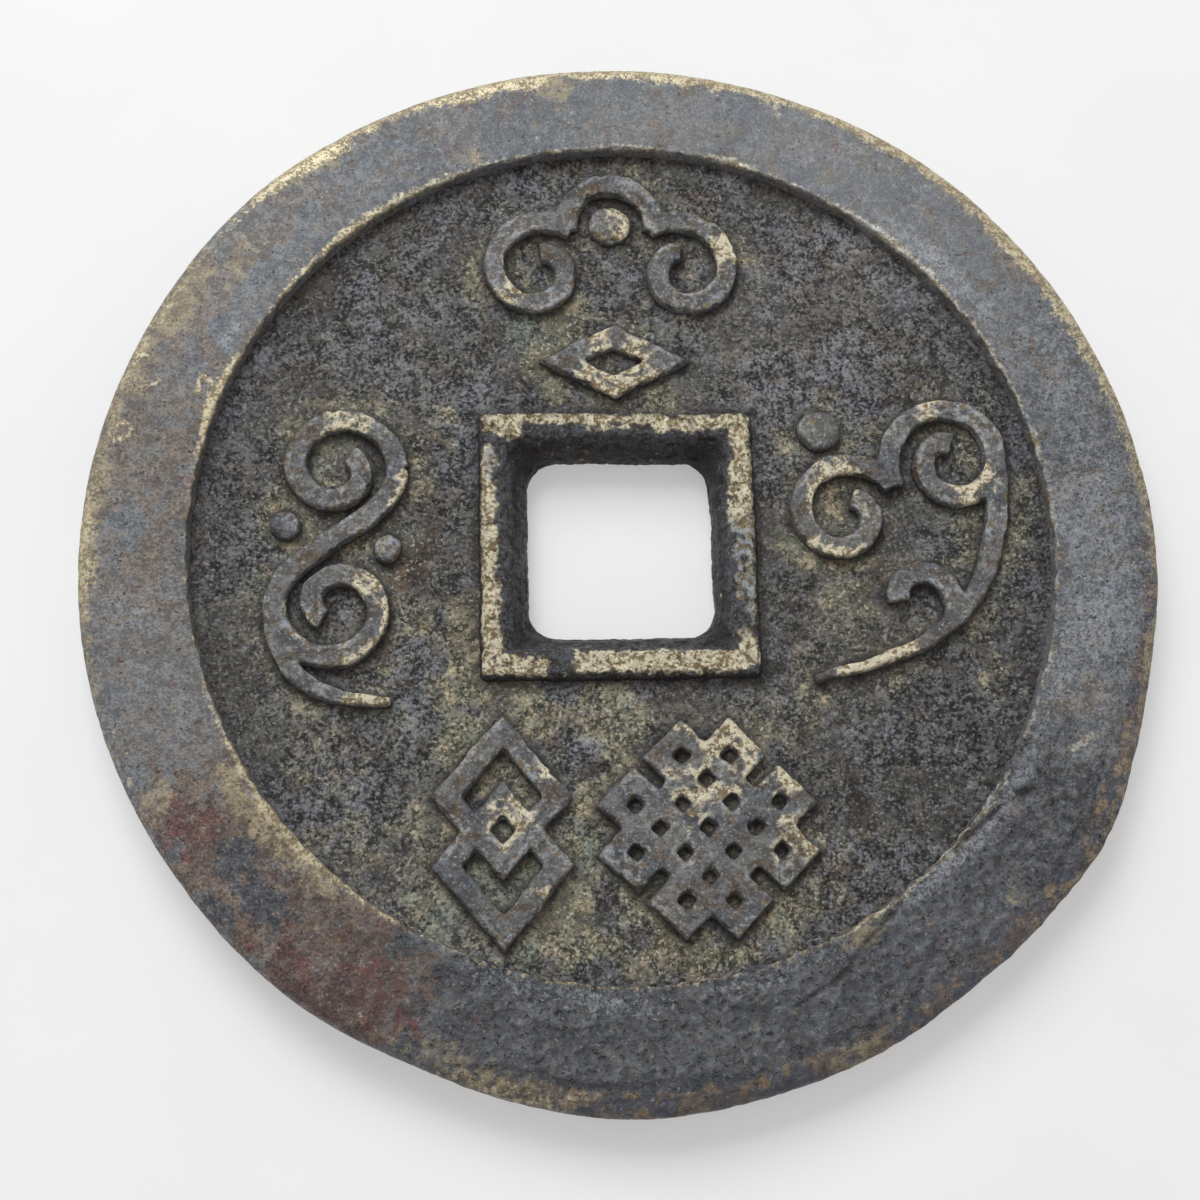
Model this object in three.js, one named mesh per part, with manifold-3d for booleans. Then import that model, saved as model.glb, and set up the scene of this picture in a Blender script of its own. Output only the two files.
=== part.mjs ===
import * as THREE from 'three';
import { mergeVertices } from 'three/addons/utils/BufferGeometryUtils.js';
import Module from 'manifold-3d';

// A large cast cash coin lying on its back face. Millimetres, +Z up.
// The origin is the centre of the back face, and +Y points to the top of the design.

// Outer rim
const coinRadius = 28.1;
const rimWidth = 5.75;        // outer edge to the foot of the inner wall
const frontShoulder = 0.8;    // worn round of the outer edge on the front
const backShoulder = 0.5;     // and on the back
const rimWallDraft = 0.2;     // the inner wall leans out towards the face
const rimLipRound = 0.22;     // worn edge at the top of the inner wall
const rimSegments = 120;
const shoulderSteps = 4;      // facets of each shoulder

// Slow swells and hollows of the cast outer edge
const edgeSwells = [
  { angle: 50, rise: 0.14, spread: 16 },
  { angle: 134, rise: 0.2, spread: 13 },
  { angle: 215, rise: -0.16, spread: 20 },
  { angle: 246, rise: -0.24, spread: 9 },
  { angle: 270, rise: 0.24, spread: 9 },
  { angle: 306, rise: -0.18, spread: 7 },
  { angle: 328, rise: 0.36, spread: 7 },
  { angle: 346, rise: -0.17, spread: 8 },
];

// Recessed field: the web between the two faces, cast a little off the coin's centre
const frontRecess = 0.9;
const backRecess = 0.9;
const webThickness = 1.6;
const fieldShiftX = -0.06;
const fieldShiftY = 0.54;

// Square hole and its raised border
const holeMouth = 11.5;          // side of the opening at the front
const holeLip = 9.6;             // narrowest place, low in the hole
const holeBackMouth = 10.5;
const lipHeight = 0.95;          // of the narrowest place over the back face
const mouthCornerRadius = 0.35;
const lipCornerRadius = 1.5;
const borderWidth = 1.37;
const borderCornerRadius = 0.45;
const borderDraft = 0.2;
const borderEdgeRound = 0.14;
const borderBelowRim = 0.08;
const holeShiftX = -0.45;        // the hole's centre from the coin's
const holeShiftY = 0.56;
const lipShiftX = 0.2;           // the lip's centre from the mouth's
const lipShiftY = 0.12;
const cornerSteps = 4;           // facets of each rounded corner

// Relief ornaments
const strokeWidth = 1.05;        // flat top of a stroke
const strokeDraft = 0.14;        // each flank leans out by this much
const reliefBelowRim = 0.12;
const voluteGap = 0.85;          // between the turns of a volute
const voluteCore = 0.3;          // open radius inside its last turn
const tailTip = 0.35;            // width of a stroke's tapered end
const pearlClearance = 0.5;
const pearlDome = 0.25;
const knotCord = 0.94;           // flat top of the knot's cords
const budRadius = 0.72;          // small pearls in the bends of the left cloud

// Places of the ornaments between the hole's border and the rim
const topInnerMargin = 0.75;
const topOuterMargin = 1.25;
const bottomInnerMargin = 1.7;
const bottomOuterMargin = 1.4;
const leftCloudDrop = 0.75;      // of the left cloud under the hole's centre
const pairGap = 0.9;             // between the two lower ornaments
const stackGap = 0.5;            // between the top cloud and its lozenge
const backInnerMargin = 1.8;
const backOuterMargin = 2;

// Proportions of the ornaments
const topCloudAspect = 1.06;     // cloud width over the depth it is given
const topLozengeAspect = 0.6;    // lozenge width over cloud width
const sideCloudReach = 0.51;     // share of the band that the left cloud fills
const sideCloudAspect = 2.16;    // its height over its width
const tailCloudReach = 0.76;     // share of the band that the right cloud fills
const tailCloudAspect = 1.34;
const lozengesAspect = 0.6;      // width of the lozenge pair over its height
const knotAspect = 0.94;         // width of the knot over the depth it is given
const backCloudAspect = 1.15;
const cloudLobeShare = 0.48;     // a side lobe's radius over the cloud head's half width
const lozengeCrossing = 0.28;    // how far the paired lozenges sit from their shared middle
const knotLoopEnd = 1;           // pitches by which a loop passes the last cord it crosses
const lowerVolutePlace = 0.155;  // drop of the left cloud's lower volute, over its height
const budSpread = 0.84;          // a bud's distance from the spine over the volute's radius
const budRise = 0.04;            // its height off the middle over the cloud's height
const curlShare = 0.6;           // the tail's curl over the main volute
const curlPlace = 0.56;          // how far along the tail it grows
const rightPearlShare = 0.36;    // pearl over the smaller volute

// Facets of the curves
const turnSteps = 24;
const curveSteps = 16;
const domeSteps = 4;

// Worked out from the sizes above
const fieldRadius = coinRadius - rimWidth;
const fieldTop = backRecess + webThickness;
const coinHeight = fieldTop + frontRecess;
const borderHalf = holeMouth / 2 + borderWidth;
const frontReliefHeight = frontRecess - reliefBelowRim;
const backReliefHeight = backRecess - reliefBelowRim;
const fieldShift = new THREE.Vector2(fieldShiftX, fieldShiftY);
const holeShift = new THREE.Vector2(holeShiftX, holeShiftY);
const lipShift = new THREE.Vector2(lipShiftX, lipShiftY);
const footHalf = strokeWidth / 2 + strokeDraft;
const volutePitch = strokeWidth + voluteGap;
const degree = Math.PI / 180;

const wasm = await Module();
wasm.setup();

// Solids from sections: each section is a closed ring of points, listed so that it runs
// outer foot, outer top, inner top, inner foot when the path turns anticlockwise
function sweep(sections, closed) {
  const width = sections[0].length;
  const positions = sections.flat().flatMap((p) => [p.x, p.y, p.z]);
  const index = [];
  const spans = closed ? sections.length : sections.length - 1;
  for (let i = 0; i < spans; i += 1) {
    const next = (i + 1) % sections.length;
    for (let k = 0; k < width; k += 1) {
      const side = (k + 1) % width;
      const a = i * width + k;
      const b = next * width + k;
      const c = next * width + side;
      const d = i * width + side;
      index.push(a, b, c, a, c, d);
    }
  }
  if (!closed) {
    const last = (sections.length - 1) * width;
    for (let k = 1; k < width - 1; k += 1) {
      index.push(0, k, k + 1);
      index.push(last, last + k + 1, last + k);
    }
  }
  const geometry = new THREE.BufferGeometry();
  geometry.setAttribute('position', new THREE.Float32BufferAttribute(positions, 3));
  geometry.setIndex(index);
  geometry.computeVertexNormals();
  return geometry;
}

function toSolid(geometry) {
  const bare = geometry.clone();
  bare.deleteAttribute('normal');
  bare.deleteAttribute('uv');
  const merged = mergeVertices(bare, 1e-4);
  return new wasm.Manifold(new wasm.Mesh({
    numProp: 3,
    vertProperties: new Float32Array(merged.attributes.position.array),
    triVerts: new Uint32Array(merged.index.array),
  }));
}

function join(geometries) {
  const solid = geometries.map(toSolid).reduce((sum, next) => sum.add(next));
  const mesh = solid.getMesh();
  const geometry = new THREE.BufferGeometry();
  const points = new Float32Array(mesh.vertProperties);
  const corners = new Uint32Array(mesh.triVerts);
  geometry.setAttribute('position', new THREE.BufferAttribute(points, 3));
  geometry.setIndex(new THREE.BufferAttribute(corners, 1));
  geometry.computeVertexNormals();
  return geometry;
}

// How far the cast edge stands out of the true circle at an angle
function edgeRise(angle) {
  return edgeSwells.reduce((sum, swell) => {
    const turn = angle - swell.angle * degree;
    const away = Math.atan2(Math.sin(turn), Math.cos(turn));
    return sum + swell.rise * Math.exp(-((away / (swell.spread * degree)) ** 2));
  }, 0);
}

// Turned ring, then drawn out of true: its outer edge by the swells, its inner wall by the shift
function makeOuterRim() {
  const lipRadius = fieldRadius + rimWallDraft;
  const profile = [new THREE.Vector2(lipRadius + rimLipRound, 0)];
  for (let i = 0; i <= shoulderSteps; i += 1) {
    const turn = (i / shoulderSteps - 1) * Math.PI / 2;
    profile.push(new THREE.Vector2(
      coinRadius + backShoulder * (Math.cos(turn) - 1),
      backShoulder * (1 + Math.sin(turn)),
    ));
  }
  for (let i = 0; i <= shoulderSteps; i += 1) {
    const turn = (i / shoulderSteps) * Math.PI / 2;
    profile.push(new THREE.Vector2(
      coinRadius + frontShoulder * (Math.cos(turn) - 1),
      coinHeight + frontShoulder * (Math.sin(turn) - 1),
    ));
  }
  profile.push(new THREE.Vector2(lipRadius + rimLipRound, coinHeight));
  profile.push(new THREE.Vector2(lipRadius, coinHeight - rimLipRound));
  profile.push(new THREE.Vector2(fieldRadius, fieldTop));
  profile.push(new THREE.Vector2(fieldRadius, backRecess));
  profile.push(new THREE.Vector2(lipRadius, rimLipRound));
  profile.push(profile[0].clone());
  const ring = new THREE.LatheGeometry(profile, rimSegments);
  ring.rotateX(Math.PI / 2);
  const position = ring.attributes.position;
  for (let i = 0; i < position.count; i += 1) {
    const x = position.getX(i);
    const y = position.getY(i);
    const radius = Math.hypot(x, y);
    const angle = Math.atan2(y, x);
    const outward = THREE.MathUtils.clamp((radius - fieldRadius) / rimWidth, 0, 1);
    const swollen = 1 + outward * edgeRise(angle) / radius;
    const inward = 1 - outward;
    position.setXY(i, x * swollen + inward * fieldShift.x, y * swollen + inward * fieldShift.y);
  }
  ring.computeVertexNormals();
  return ring;
}

function polar(centre, radius, turn) {
  return new THREE.Vector2(centre.x + radius * Math.cos(turn), centre.y + radius * Math.sin(turn));
}

// Corners of a square with rounded corners, anticlockwise
function roundedSquare(half, cornerRadius, centre) {
  const points = [];
  const inset = half - cornerRadius;
  for (let corner = 0; corner < 4; corner += 1) {
    const diagonal = (45 + 90 * corner) * degree;
    const pivot = polar(centre, inset * Math.SQRT2, diagonal);
    for (let i = 0; i <= cornerSteps; i += 1) {
      points.push(polar(pivot, cornerRadius, diagonal + (i / cornerSteps - 0.5) * Math.PI / 2));
    }
  }
  return points;
}

// The web: a disc that fills the rim's inner wall and stops at the border's neck
function makeFieldPlate() {
  const edge = [];
  for (let i = 0; i < rimSegments; i += 1) {
    const turn = (i / rimSegments) * Math.PI * 2;
    edge.push(new THREE.Vector2(
      fieldRadius * Math.sin(turn) + fieldShift.x,
      -fieldRadius * Math.cos(turn) + fieldShift.y,
    ));
  }
  const disc = new THREE.Shape(edge);
  disc.holes.push(new THREE.Path(roundedSquare(borderHalf, borderCornerRadius, holeShift)));
  return new THREE.ExtrudeGeometry(disc, { depth: webThickness, bevelEnabled: false });
}

// The border and the lining of the hole, one ring of sections round the square
function makeHoleRim() {
  const frontTop = coinHeight - borderBelowRim;
  const backTop = borderBelowRim;
  const footHalfSide = borderHalf + borderDraft;
  const backMouthHalf = holeBackMouth / 2;
  const backCornerRadius = lipCornerRadius / 2;
  const lipCentre = holeShift.clone().add(lipShift);
  const outer = (half, z) => ({ z, loop: roundedSquare(half, borderCornerRadius, holeShift) });
  const inner = (half, z, radius) => ({ z, loop: roundedSquare(half, radius, holeShift) });
  const throat = (share) => {
    const half = THREE.MathUtils.lerp(holeLip, holeMouth, share) / 2;
    const radius = THREE.MathUtils.lerp(lipCornerRadius, mouthCornerRadius, share);
    const centre = lipCentre.clone().lerp(holeShift, share);
    const z = THREE.MathUtils.lerp(lipHeight, frontTop - borderEdgeRound, Math.sqrt(share));
    return { z, loop: roundedSquare(half, radius, centre) };
  };
  const rows = [
    outer(borderHalf - borderEdgeRound, backTop),
    outer(borderHalf, backTop + borderEdgeRound),
    outer(footHalfSide, backRecess),
    outer(borderHalf, backRecess),
    outer(borderHalf, fieldTop),
    outer(footHalfSide, fieldTop),
    outer(borderHalf, frontTop - borderEdgeRound),
    outer(borderHalf - borderEdgeRound, frontTop),
    inner(holeMouth / 2 + borderEdgeRound, frontTop, mouthCornerRadius),
    throat(1),
    throat(0.36),
    throat(0.08),
    throat(0),
    inner(backMouthHalf, backTop + borderEdgeRound, backCornerRadius),
    inner(backMouthHalf + borderEdgeRound, backTop, backCornerRadius),
  ];
  const sections = rows[0].loop.map((_, i) => rows.map(({ z, loop }) => (
    new THREE.Vector3(loop[i].x, loop[i].y, z)
  )));
  return sweep(sections, true);
}

// A raised stroke along a centre line: flat on top, both flanks leaning out to the field
function stroke(path, height, { closed = false, widthAt = () => strokeWidth } = {}) {
  const count = path.length;
  const sharpest = 0.3;        // limit on how far a mitre may reach
  const sections = path.map((point, i) => {
    const before = closed || i > 0 ? path[(i + count - 1) % count] : point;
    const after = closed || i < count - 1 ? path[(i + 1) % count] : point;
    const arrive = point.clone().sub(before).normalize();
    const leave = after.clone().sub(point).normalize();
    const along = arrive.clone().add(leave).normalize();
    const left = new THREE.Vector2(-along.y, along.x);
    const half = widthAt(i / (count - 1)) / 2;
    const straightness = Math.max(Math.abs(along.dot(before === point ? leave : arrive)), sharpest);
    const at = (offset, z) => new THREE.Vector3(
      point.x + left.x * offset / straightness,
      point.y + left.y * offset / straightness,
      z,
    );
    return [at(-half - strokeDraft, 0), at(-half, height), at(half, height), at(half + strokeDraft, 0)];
  });
  return sweep(sections, closed);
}

function arcPoints(centre, radius, from, to, steps) {
  const points = [];
  for (let i = 0; i <= steps; i += 1) {
    points.push(polar(centre, radius, THREE.MathUtils.lerp(from, to, i / steps) * degree));
  }
  return points;
}

// A volute winds in from its outer radius by one pitch a turn: side 1 anticlockwise, -1 clockwise
function volutePoints(centre, radius, from, side) {
  const innerRadius = footHalf + voluteCore;
  const leastTurn = 0.3;
  const turns = Math.max((radius - innerRadius) / volutePitch, leastTurn);
  const steps = Math.ceil(turns * turnSteps);
  const points = [];
  for (let i = 0; i <= steps; i += 1) {
    const wound = (i / steps) * turns;
    const turn = from * degree + side * wound * Math.PI * 2;
    points.push(polar(centre, radius - wound * volutePitch, turn));
  }
  return points;
}

// Strokes thin towards their tail
function taper(share) {
  return THREE.MathUtils.lerp(strokeWidth, tailTip, share ** 2);
}

function mirrored(points) {
  return points.map((p) => new THREE.Vector2(-p.x, p.y)).reverse();
}

// How far a volute has drawn in after some degrees of winding
function drawnIn(degrees) {
  return volutePitch * degrees / 360;
}

// Three-lobed cloud head: a middle arch between two volutes that curl in under it
function cloudHeadSizes(width) {
  const joinAngle = 60;
  const reach = width / 2 - footHalf;
  const lobe = reach * cloudLobeShare;
  const lobeX = reach - lobe + drawnIn(180 - joinAngle);
  const joinX = lobeX - lobe * Math.cos(joinAngle * degree);
  const joinY = lobe * Math.sin(joinAngle * degree);
  return {
    joinAngle,
    lobe,
    lobeX,
    joinX,
    joinY,
    top: joinY + joinX + footHalf,
    bottom: drawnIn(270 - joinAngle) - lobe - footHalf,
    pearlRadius: joinX - footHalf - strokeDraft - pearlClearance,
  };
}

function makeCloudHead(width, height) {
  const { joinAngle, lobe, lobeX, joinX, joinY } = cloudHeadSizes(width);
  const overlap = 8;
  const arch = arcPoints(new THREE.Vector2(0, joinY), joinX, -overlap, 180 + overlap, curveSteps);
  const curl = volutePoints(new THREE.Vector2(-lobeX, 0), lobe, joinAngle - overlap, 1);
  return join([
    stroke(arch, height),
    stroke(curl, height),
    stroke(mirrored(curl), height),
  ]);
}

// Low round boss with a domed top
function makePearl(radius, height) {
  const profile = [new THREE.Vector2(0, 0), new THREE.Vector2(radius + strokeDraft, 0)];
  for (let i = 0; i <= domeSteps; i += 1) {
    const turn = (i / domeSteps) * Math.PI / 2;
    profile.push(new THREE.Vector2(
      i === domeSteps ? 0 : radius * Math.cos(turn),
      height - pearlDome * (1 - Math.sin(turn)),
    ));
  }
  const pearl = new THREE.LatheGeometry(profile, turnSteps);
  pearl.rotateX(Math.PI / 2);
  return pearl;
}

// Centre line of a lozenge whose foot reaches the given half width and half height
function lozengePoints(halfWidth, halfHeight, centreY) {
  const side = Math.hypot(halfWidth, halfHeight);
  const a = halfWidth - footHalf * side / halfHeight;
  const b = halfHeight - footHalf * side / halfWidth;
  return [
    new THREE.Vector2(a, centreY),
    new THREE.Vector2(0, centreY + b),
    new THREE.Vector2(-a, centreY),
    new THREE.Vector2(0, centreY - b),
  ];
}

function makeLozenge(width, depth, height) {
  return stroke(lozengePoints(width / 2, depth / 2, 0), height, { closed: true });
}

// Two lozenges, one above the other, with their near corners crossed
function makeLozengePair(width, depth, height) {
  const centreY = lozengeCrossing * depth / 2;
  const halfHeight = depth / 2 - centreY;
  return join([1, -1].map((side) => (
    stroke(lozengePoints(width / 2, halfHeight, side * centreY), height, { closed: true })
  )));
}

// Endless knot: two long loops laid across two others, set on its corner
function makeKnot(width, height) {
  const reach = width / Math.SQRT2 - knotCord - 2 * strokeDraft;
  const pitch = reach / (3 + knotLoopEnd);
  const half = (1.5 + knotLoopEnd) * pitch;
  const loops = [];
  [-1, 1].forEach((side) => {
    const near = side * pitch - pitch / 2;
    const far = side * pitch + pitch / 2;
    loops.push([[-half, near], [half, near], [half, far], [-half, far]]);
    loops.push([[far, -half], [far, half], [near, half], [near, -half]]);
  });
  const knot = join(loops.map((corners) => (
    stroke(
      corners.map(([x, y]) => new THREE.Vector2(x, y)),
      height,
      { closed: true, widthAt: () => knotCord },
    )
  )));
  knot.rotateZ(Math.PI / 4);
  return knot;
}

// Standing cloud: a spine between two volutes, with a tail swept round the lower one
function standingCloudSizes(width, depth) {
  const radius = width / 2 - footHalf;
  const upper = new THREE.Vector2(0, depth / 2 - footHalf - radius + drawnIn(90));
  const lower = new THREE.Vector2(0, -depth * lowerVolutePlace);
  return { radius, upper, lower, middle: (upper.y + lower.y) / 2 };
}

function makeStandingCloud(width, depth, height) {
  const { radius, upper, lower } = standingCloudSizes(width, depth);
  const floor = -depth / 2 + footHalf;
  const spine = new THREE.CubicBezierCurve(
    new THREE.Vector2(radius, upper.y),
    new THREE.Vector2(radius, THREE.MathUtils.lerp(upper.y, lower.y, 0.42)),
    new THREE.Vector2(-radius, THREE.MathUtils.lerp(upper.y, lower.y, 0.58)),
    new THREE.Vector2(-radius, lower.y),
  );
  const tail = new THREE.CubicBezierCurve(
    new THREE.Vector2(-radius, lower.y),
    new THREE.Vector2(-radius, THREE.MathUtils.lerp(lower.y, floor, 0.8)),
    new THREE.Vector2(-radius * 0.2, floor),
    new THREE.Vector2(radius * 0.9, floor),
  );
  return join([
    stroke(spine.getPoints(curveSteps), height),
    stroke(volutePoints(upper, radius, 0, 1), height),
    stroke(volutePoints(lower, radius, 180, 1), height),
    stroke(tail.getPoints(curveSteps), height, { widthAt: taper }),
  ]);
}

// Trailing cloud: a large volute and a smaller one joined in a cusp, and a long tail with a curl
function trailingCloudSizes(width, depth) {
  const mainStart = 205;
  const sideStart = 28;
  const sideShare = 0.88;      // side volute's radius over the main one's
  const right = width / 2 - footHalf;
  const top = depth / 2 - footHalf;
  const drawn = drawnIn(mainStart) + drawnIn(180 - sideStart);
  const mainSpan = 1 - Math.cos(mainStart * degree);
  const sideSpan = 1 + Math.cos(sideStart * degree);
  const mainRadius = (2 * right + drawn) / (mainSpan + sideShare * sideSpan);
  const sideRadius = mainRadius * sideShare;
  const main = new THREE.Vector2(
    right - mainRadius + drawnIn(mainStart),
    top - mainRadius + drawnIn(mainStart - 90),
  );
  const cusp = polar(main, mainRadius, mainStart * degree);
  const side = polar(cusp, -sideRadius, sideStart * degree);
  return { mainStart, sideStart, right, top, mainRadius, sideRadius, main, side };
}

function makeTrailingCloud(width, depth, height) {
  const sizes = trailingCloudSizes(width, depth);
  const { mainStart, sideStart, right, top, mainRadius, sideRadius, main, side } = sizes;
  const tail = new THREE.CubicBezierCurve(
    new THREE.Vector2(right, main.y),
    new THREE.Vector2(right, -top * 0.4),
    new THREE.Vector2(right * 0.5, -top * 0.8),
    new THREE.Vector2(-right * 0.95, -top),
  );
  const curlRadius = mainRadius * curlShare;
  const curlStart = -30;
  const curl = polar(tail.getPoint(curlPlace), -curlRadius, curlStart * degree);
  return join([
    stroke(volutePoints(main, mainRadius, mainStart, -1), height),
    stroke(volutePoints(side, sideRadius, sideStart, 1), height),
    stroke(tail.getPoints(curveSteps), height, { widthAt: taper }),
    stroke(volutePoints(curl, curlRadius, curlStart, 1), height),
  ]);
}

const finishes = {
  rim: { color: 0x7b7c80, roughness: 0.5, metalness: 0.55 },
  field: { color: 0x5e5d59, roughness: 0.75, metalness: 0.35 },
  border: { color: 0x95897a, roughness: 0.45, metalness: 0.7 },
  relief: { color: 0x6f6e6e, roughness: 0.5, metalness: 0.55 },
};

const coin = new THREE.Group();

function addPiece(name, geometry, finish, x = 0, y = 0, z = 0) {
  const mesh = new THREE.Mesh(geometry, new THREE.MeshStandardMaterial(finishes[finish]));
  mesh.name = name;
  mesh.position.set(x, y, z);
  coin.add(mesh);
}

function addFront(name, geometry, x, y) {
  addPiece(name, geometry, 'relief', x, y, fieldTop);
}

// Back ornaments are the same shapes turned over, so that they read upright from behind
function addBack(name, geometry, x, y) {
  geometry.applyMatrix4(new THREE.Matrix4().makeScale(-1, 1, -1));
  geometry.computeVertexNormals();
  addPiece(name, geometry, 'relief', x, y, backRecess);
}

addPiece('outer_rim', makeOuterRim(), 'rim');
addPiece('field_plate', makeFieldPlate(), 'field', 0, 0, backRecess);
addPiece('hole_rim', makeHoleRim(), 'border');

// The band on each side of the hole, from the border's edge to the foot of the rim
const topBand = { from: holeShift.y + borderHalf, to: fieldShift.y + fieldRadius };
const bottomBand = { from: holeShift.y - borderHalf, to: fieldShift.y - fieldRadius };
const leftBand = { from: holeShift.x - borderHalf, to: fieldShift.x - fieldRadius };
const rightBand = { from: holeShift.x + borderHalf, to: fieldShift.x + fieldRadius };
const bandWidth = ({ from, to }) => Math.abs(to - from);
const bandMiddle = ({ from, to }) => (from + to) / 2;

// Top: a cloud head with a pearl under its arch, over a lozenge
const topDepth = bandWidth(topBand) - topInnerMargin - topOuterMargin;
const topCloudWidth = topDepth * topCloudAspect;
const topCloud = cloudHeadSizes(topCloudWidth);
const topCloudY = topBand.to - topOuterMargin - topCloud.top;
const topLozengeDepth = topDepth - (topCloud.top - topCloud.bottom) - stackGap;
const topLozengeY = topBand.from + topInnerMargin + topLozengeDepth / 2;
addFront('top_cloud', makeCloudHead(topCloudWidth, frontReliefHeight), holeShift.x, topCloudY);
addFront(
  'top_pearl',
  makePearl(topCloud.pearlRadius, frontReliefHeight),
  holeShift.x,
  topCloudY + topCloud.joinY,
);
addFront(
  'top_lozenge',
  makeLozenge(topCloudWidth * topLozengeAspect, topLozengeDepth, frontReliefHeight),
  holeShift.x,
  topLozengeY,
);

// Left: a standing cloud with a small pearl in each bend of its spine
const leftWidth = bandWidth(leftBand) * sideCloudReach;
const leftDepth = leftWidth * sideCloudAspect;
const leftCloud = standingCloudSizes(leftWidth, leftDepth);
const leftX = bandMiddle(leftBand);
const leftY = holeShift.y - leftCloudDrop;
addFront('left_cloud', makeStandingCloud(leftWidth, leftDepth, frontReliefHeight), leftX, leftY);
[['left_upper_bud', -1], ['left_lower_bud', 1]].forEach(([name, side]) => {
  addFront(
    name,
    makePearl(budRadius, frontReliefHeight),
    leftX + side * leftCloud.radius * budSpread,
    leftY + leftCloud.middle - side * leftDepth * budRise,
  );
});

// Right: a trailing cloud with a pearl over its smaller volute
const rightWidth = bandWidth(rightBand) * tailCloudReach;
const rightDepth = rightWidth * tailCloudAspect;
const rightCloud = trailingCloudSizes(rightWidth, rightDepth);
const rightX = bandMiddle(rightBand);
const rightY = holeShift.y;
const rightPearlRadius = rightCloud.sideRadius * rightPearlShare;
addFront('right_cloud', makeTrailingCloud(rightWidth, rightDepth, frontReliefHeight), rightX, rightY);
addFront(
  'right_pearl',
  makePearl(rightPearlRadius, frontReliefHeight),
  rightX + rightCloud.side.x - rightPearlRadius,
  rightY + rightCloud.top - rightPearlRadius,
);

// Bottom: a pair of crossed lozenges beside an endless knot
const bottomDepth = bandWidth(bottomBand) - bottomInnerMargin - bottomOuterMargin;
const bottomY = bottomBand.from - bottomInnerMargin - bottomDepth / 2;
const lozengesWidth = bottomDepth * lozengesAspect;
const knotWidth = bottomDepth * knotAspect;
const pairLeft = holeShift.x - (lozengesWidth + pairGap + knotWidth) / 2;
addFront(
  'lower_left_lozenges',
  makeLozengePair(lozengesWidth, bottomDepth, frontReliefHeight),
  pairLeft + lozengesWidth / 2,
  bottomY,
);
addFront(
  'lower_right_knot',
  makeKnot(knotWidth, frontReliefHeight),
  pairLeft + lozengesWidth + pairGap + knotWidth / 2,
  bottomY,
);

// Back: cloud heads over and under the hole, lozenge pairs beside it
[['back_top', topBand, 1], ['back_bottom', bottomBand, -1]].forEach(([name, band, up]) => {
  const depth = bandWidth(band) - backInnerMargin - backOuterMargin;
  const width = depth * backCloudAspect;
  const sizes = cloudHeadSizes(width);
  const middle = (sizes.top + sizes.bottom) / 2;
  const y = (band.from + up * backInnerMargin + band.to - up * backOuterMargin) / 2 - up * middle;
  const cloud = makeCloudHead(width, backReliefHeight);
  if (up < 0) cloud.rotateZ(Math.PI);
  const pearl = makePearl(sizes.pearlRadius, backReliefHeight);
  addBack(`${name}_cloud`, cloud, holeShift.x, y);
  addBack(`${name}_pearl`, pearl, holeShift.x, y + up * sizes.joinY);
});
[['back_left_lozenges', leftBand], ['back_right_lozenges', rightBand]].forEach(([name, band]) => {
  const depth = bandWidth(band) - backInnerMargin - backOuterMargin;
  const pair = makeLozengePair(depth * lozengesAspect, depth, backReliefHeight);
  addBack(name, pair, bandMiddle(band), holeShift.y);
});

export default coin;
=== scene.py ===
# A large cast cash coin, worn and patinated, lying face up.
# Metres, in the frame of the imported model: the origin is the middle of the back face, +Y the top.
import math
import bmesh
import bpy
import numpy as np
from mathutils import Matrix, Vector, noise
from mathutils.bvhtree import BVHTree


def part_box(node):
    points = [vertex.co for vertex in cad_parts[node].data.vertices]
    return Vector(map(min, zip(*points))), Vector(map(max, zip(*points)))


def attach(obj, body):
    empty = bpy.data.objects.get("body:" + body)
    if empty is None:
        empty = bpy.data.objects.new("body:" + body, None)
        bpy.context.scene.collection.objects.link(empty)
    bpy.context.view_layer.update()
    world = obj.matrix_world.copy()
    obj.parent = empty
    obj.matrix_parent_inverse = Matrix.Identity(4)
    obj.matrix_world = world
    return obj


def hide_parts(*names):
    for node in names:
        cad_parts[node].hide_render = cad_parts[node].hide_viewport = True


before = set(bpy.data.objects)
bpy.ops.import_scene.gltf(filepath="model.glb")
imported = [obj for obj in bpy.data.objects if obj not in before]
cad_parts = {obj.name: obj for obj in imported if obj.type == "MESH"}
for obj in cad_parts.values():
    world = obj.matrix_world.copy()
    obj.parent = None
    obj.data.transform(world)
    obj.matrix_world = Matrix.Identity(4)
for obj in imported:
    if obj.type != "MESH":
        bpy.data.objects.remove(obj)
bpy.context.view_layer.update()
scene = bpy.context.scene
mm = 0.001
hair = 0.001 * mm                # less than this is no distance

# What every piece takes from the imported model
fieldLow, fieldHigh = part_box("field_plate")
holeLow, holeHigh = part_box("hole_rim")
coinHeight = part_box("outer_rim")[1].z
fieldTop = fieldHigh.z
fieldBase = fieldLow.z
fieldRadius = (fieldHigh.x - fieldLow.x) / 2
fieldCentre = (fieldLow + fieldHigh) / 2
holeCentre = (holeLow + holeHigh) / 2
holeFoot = (holeHigh.x - holeLow.x) / 2
print("frame: coin %.1f mm high, field %.1f mm in radius" % (coinHeight / mm, fieldRadius / mm))


# Points, noise and painted attributes

def readPoints(mesh):
    flat = np.empty(len(mesh.vertices) * 3)
    mesh.vertices.foreach_get("co", flat)
    return flat.reshape(-1, 3)


def writePoints(mesh, points):
    mesh.vertices.foreach_set("co", points.ravel())
    mesh.update()


def readNormals(mesh):
    flat = np.empty(len(mesh.vertices) * 3)
    mesh.vertex_normals.foreach_get("vector", flat)
    return flat.reshape(-1, 3)


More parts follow.
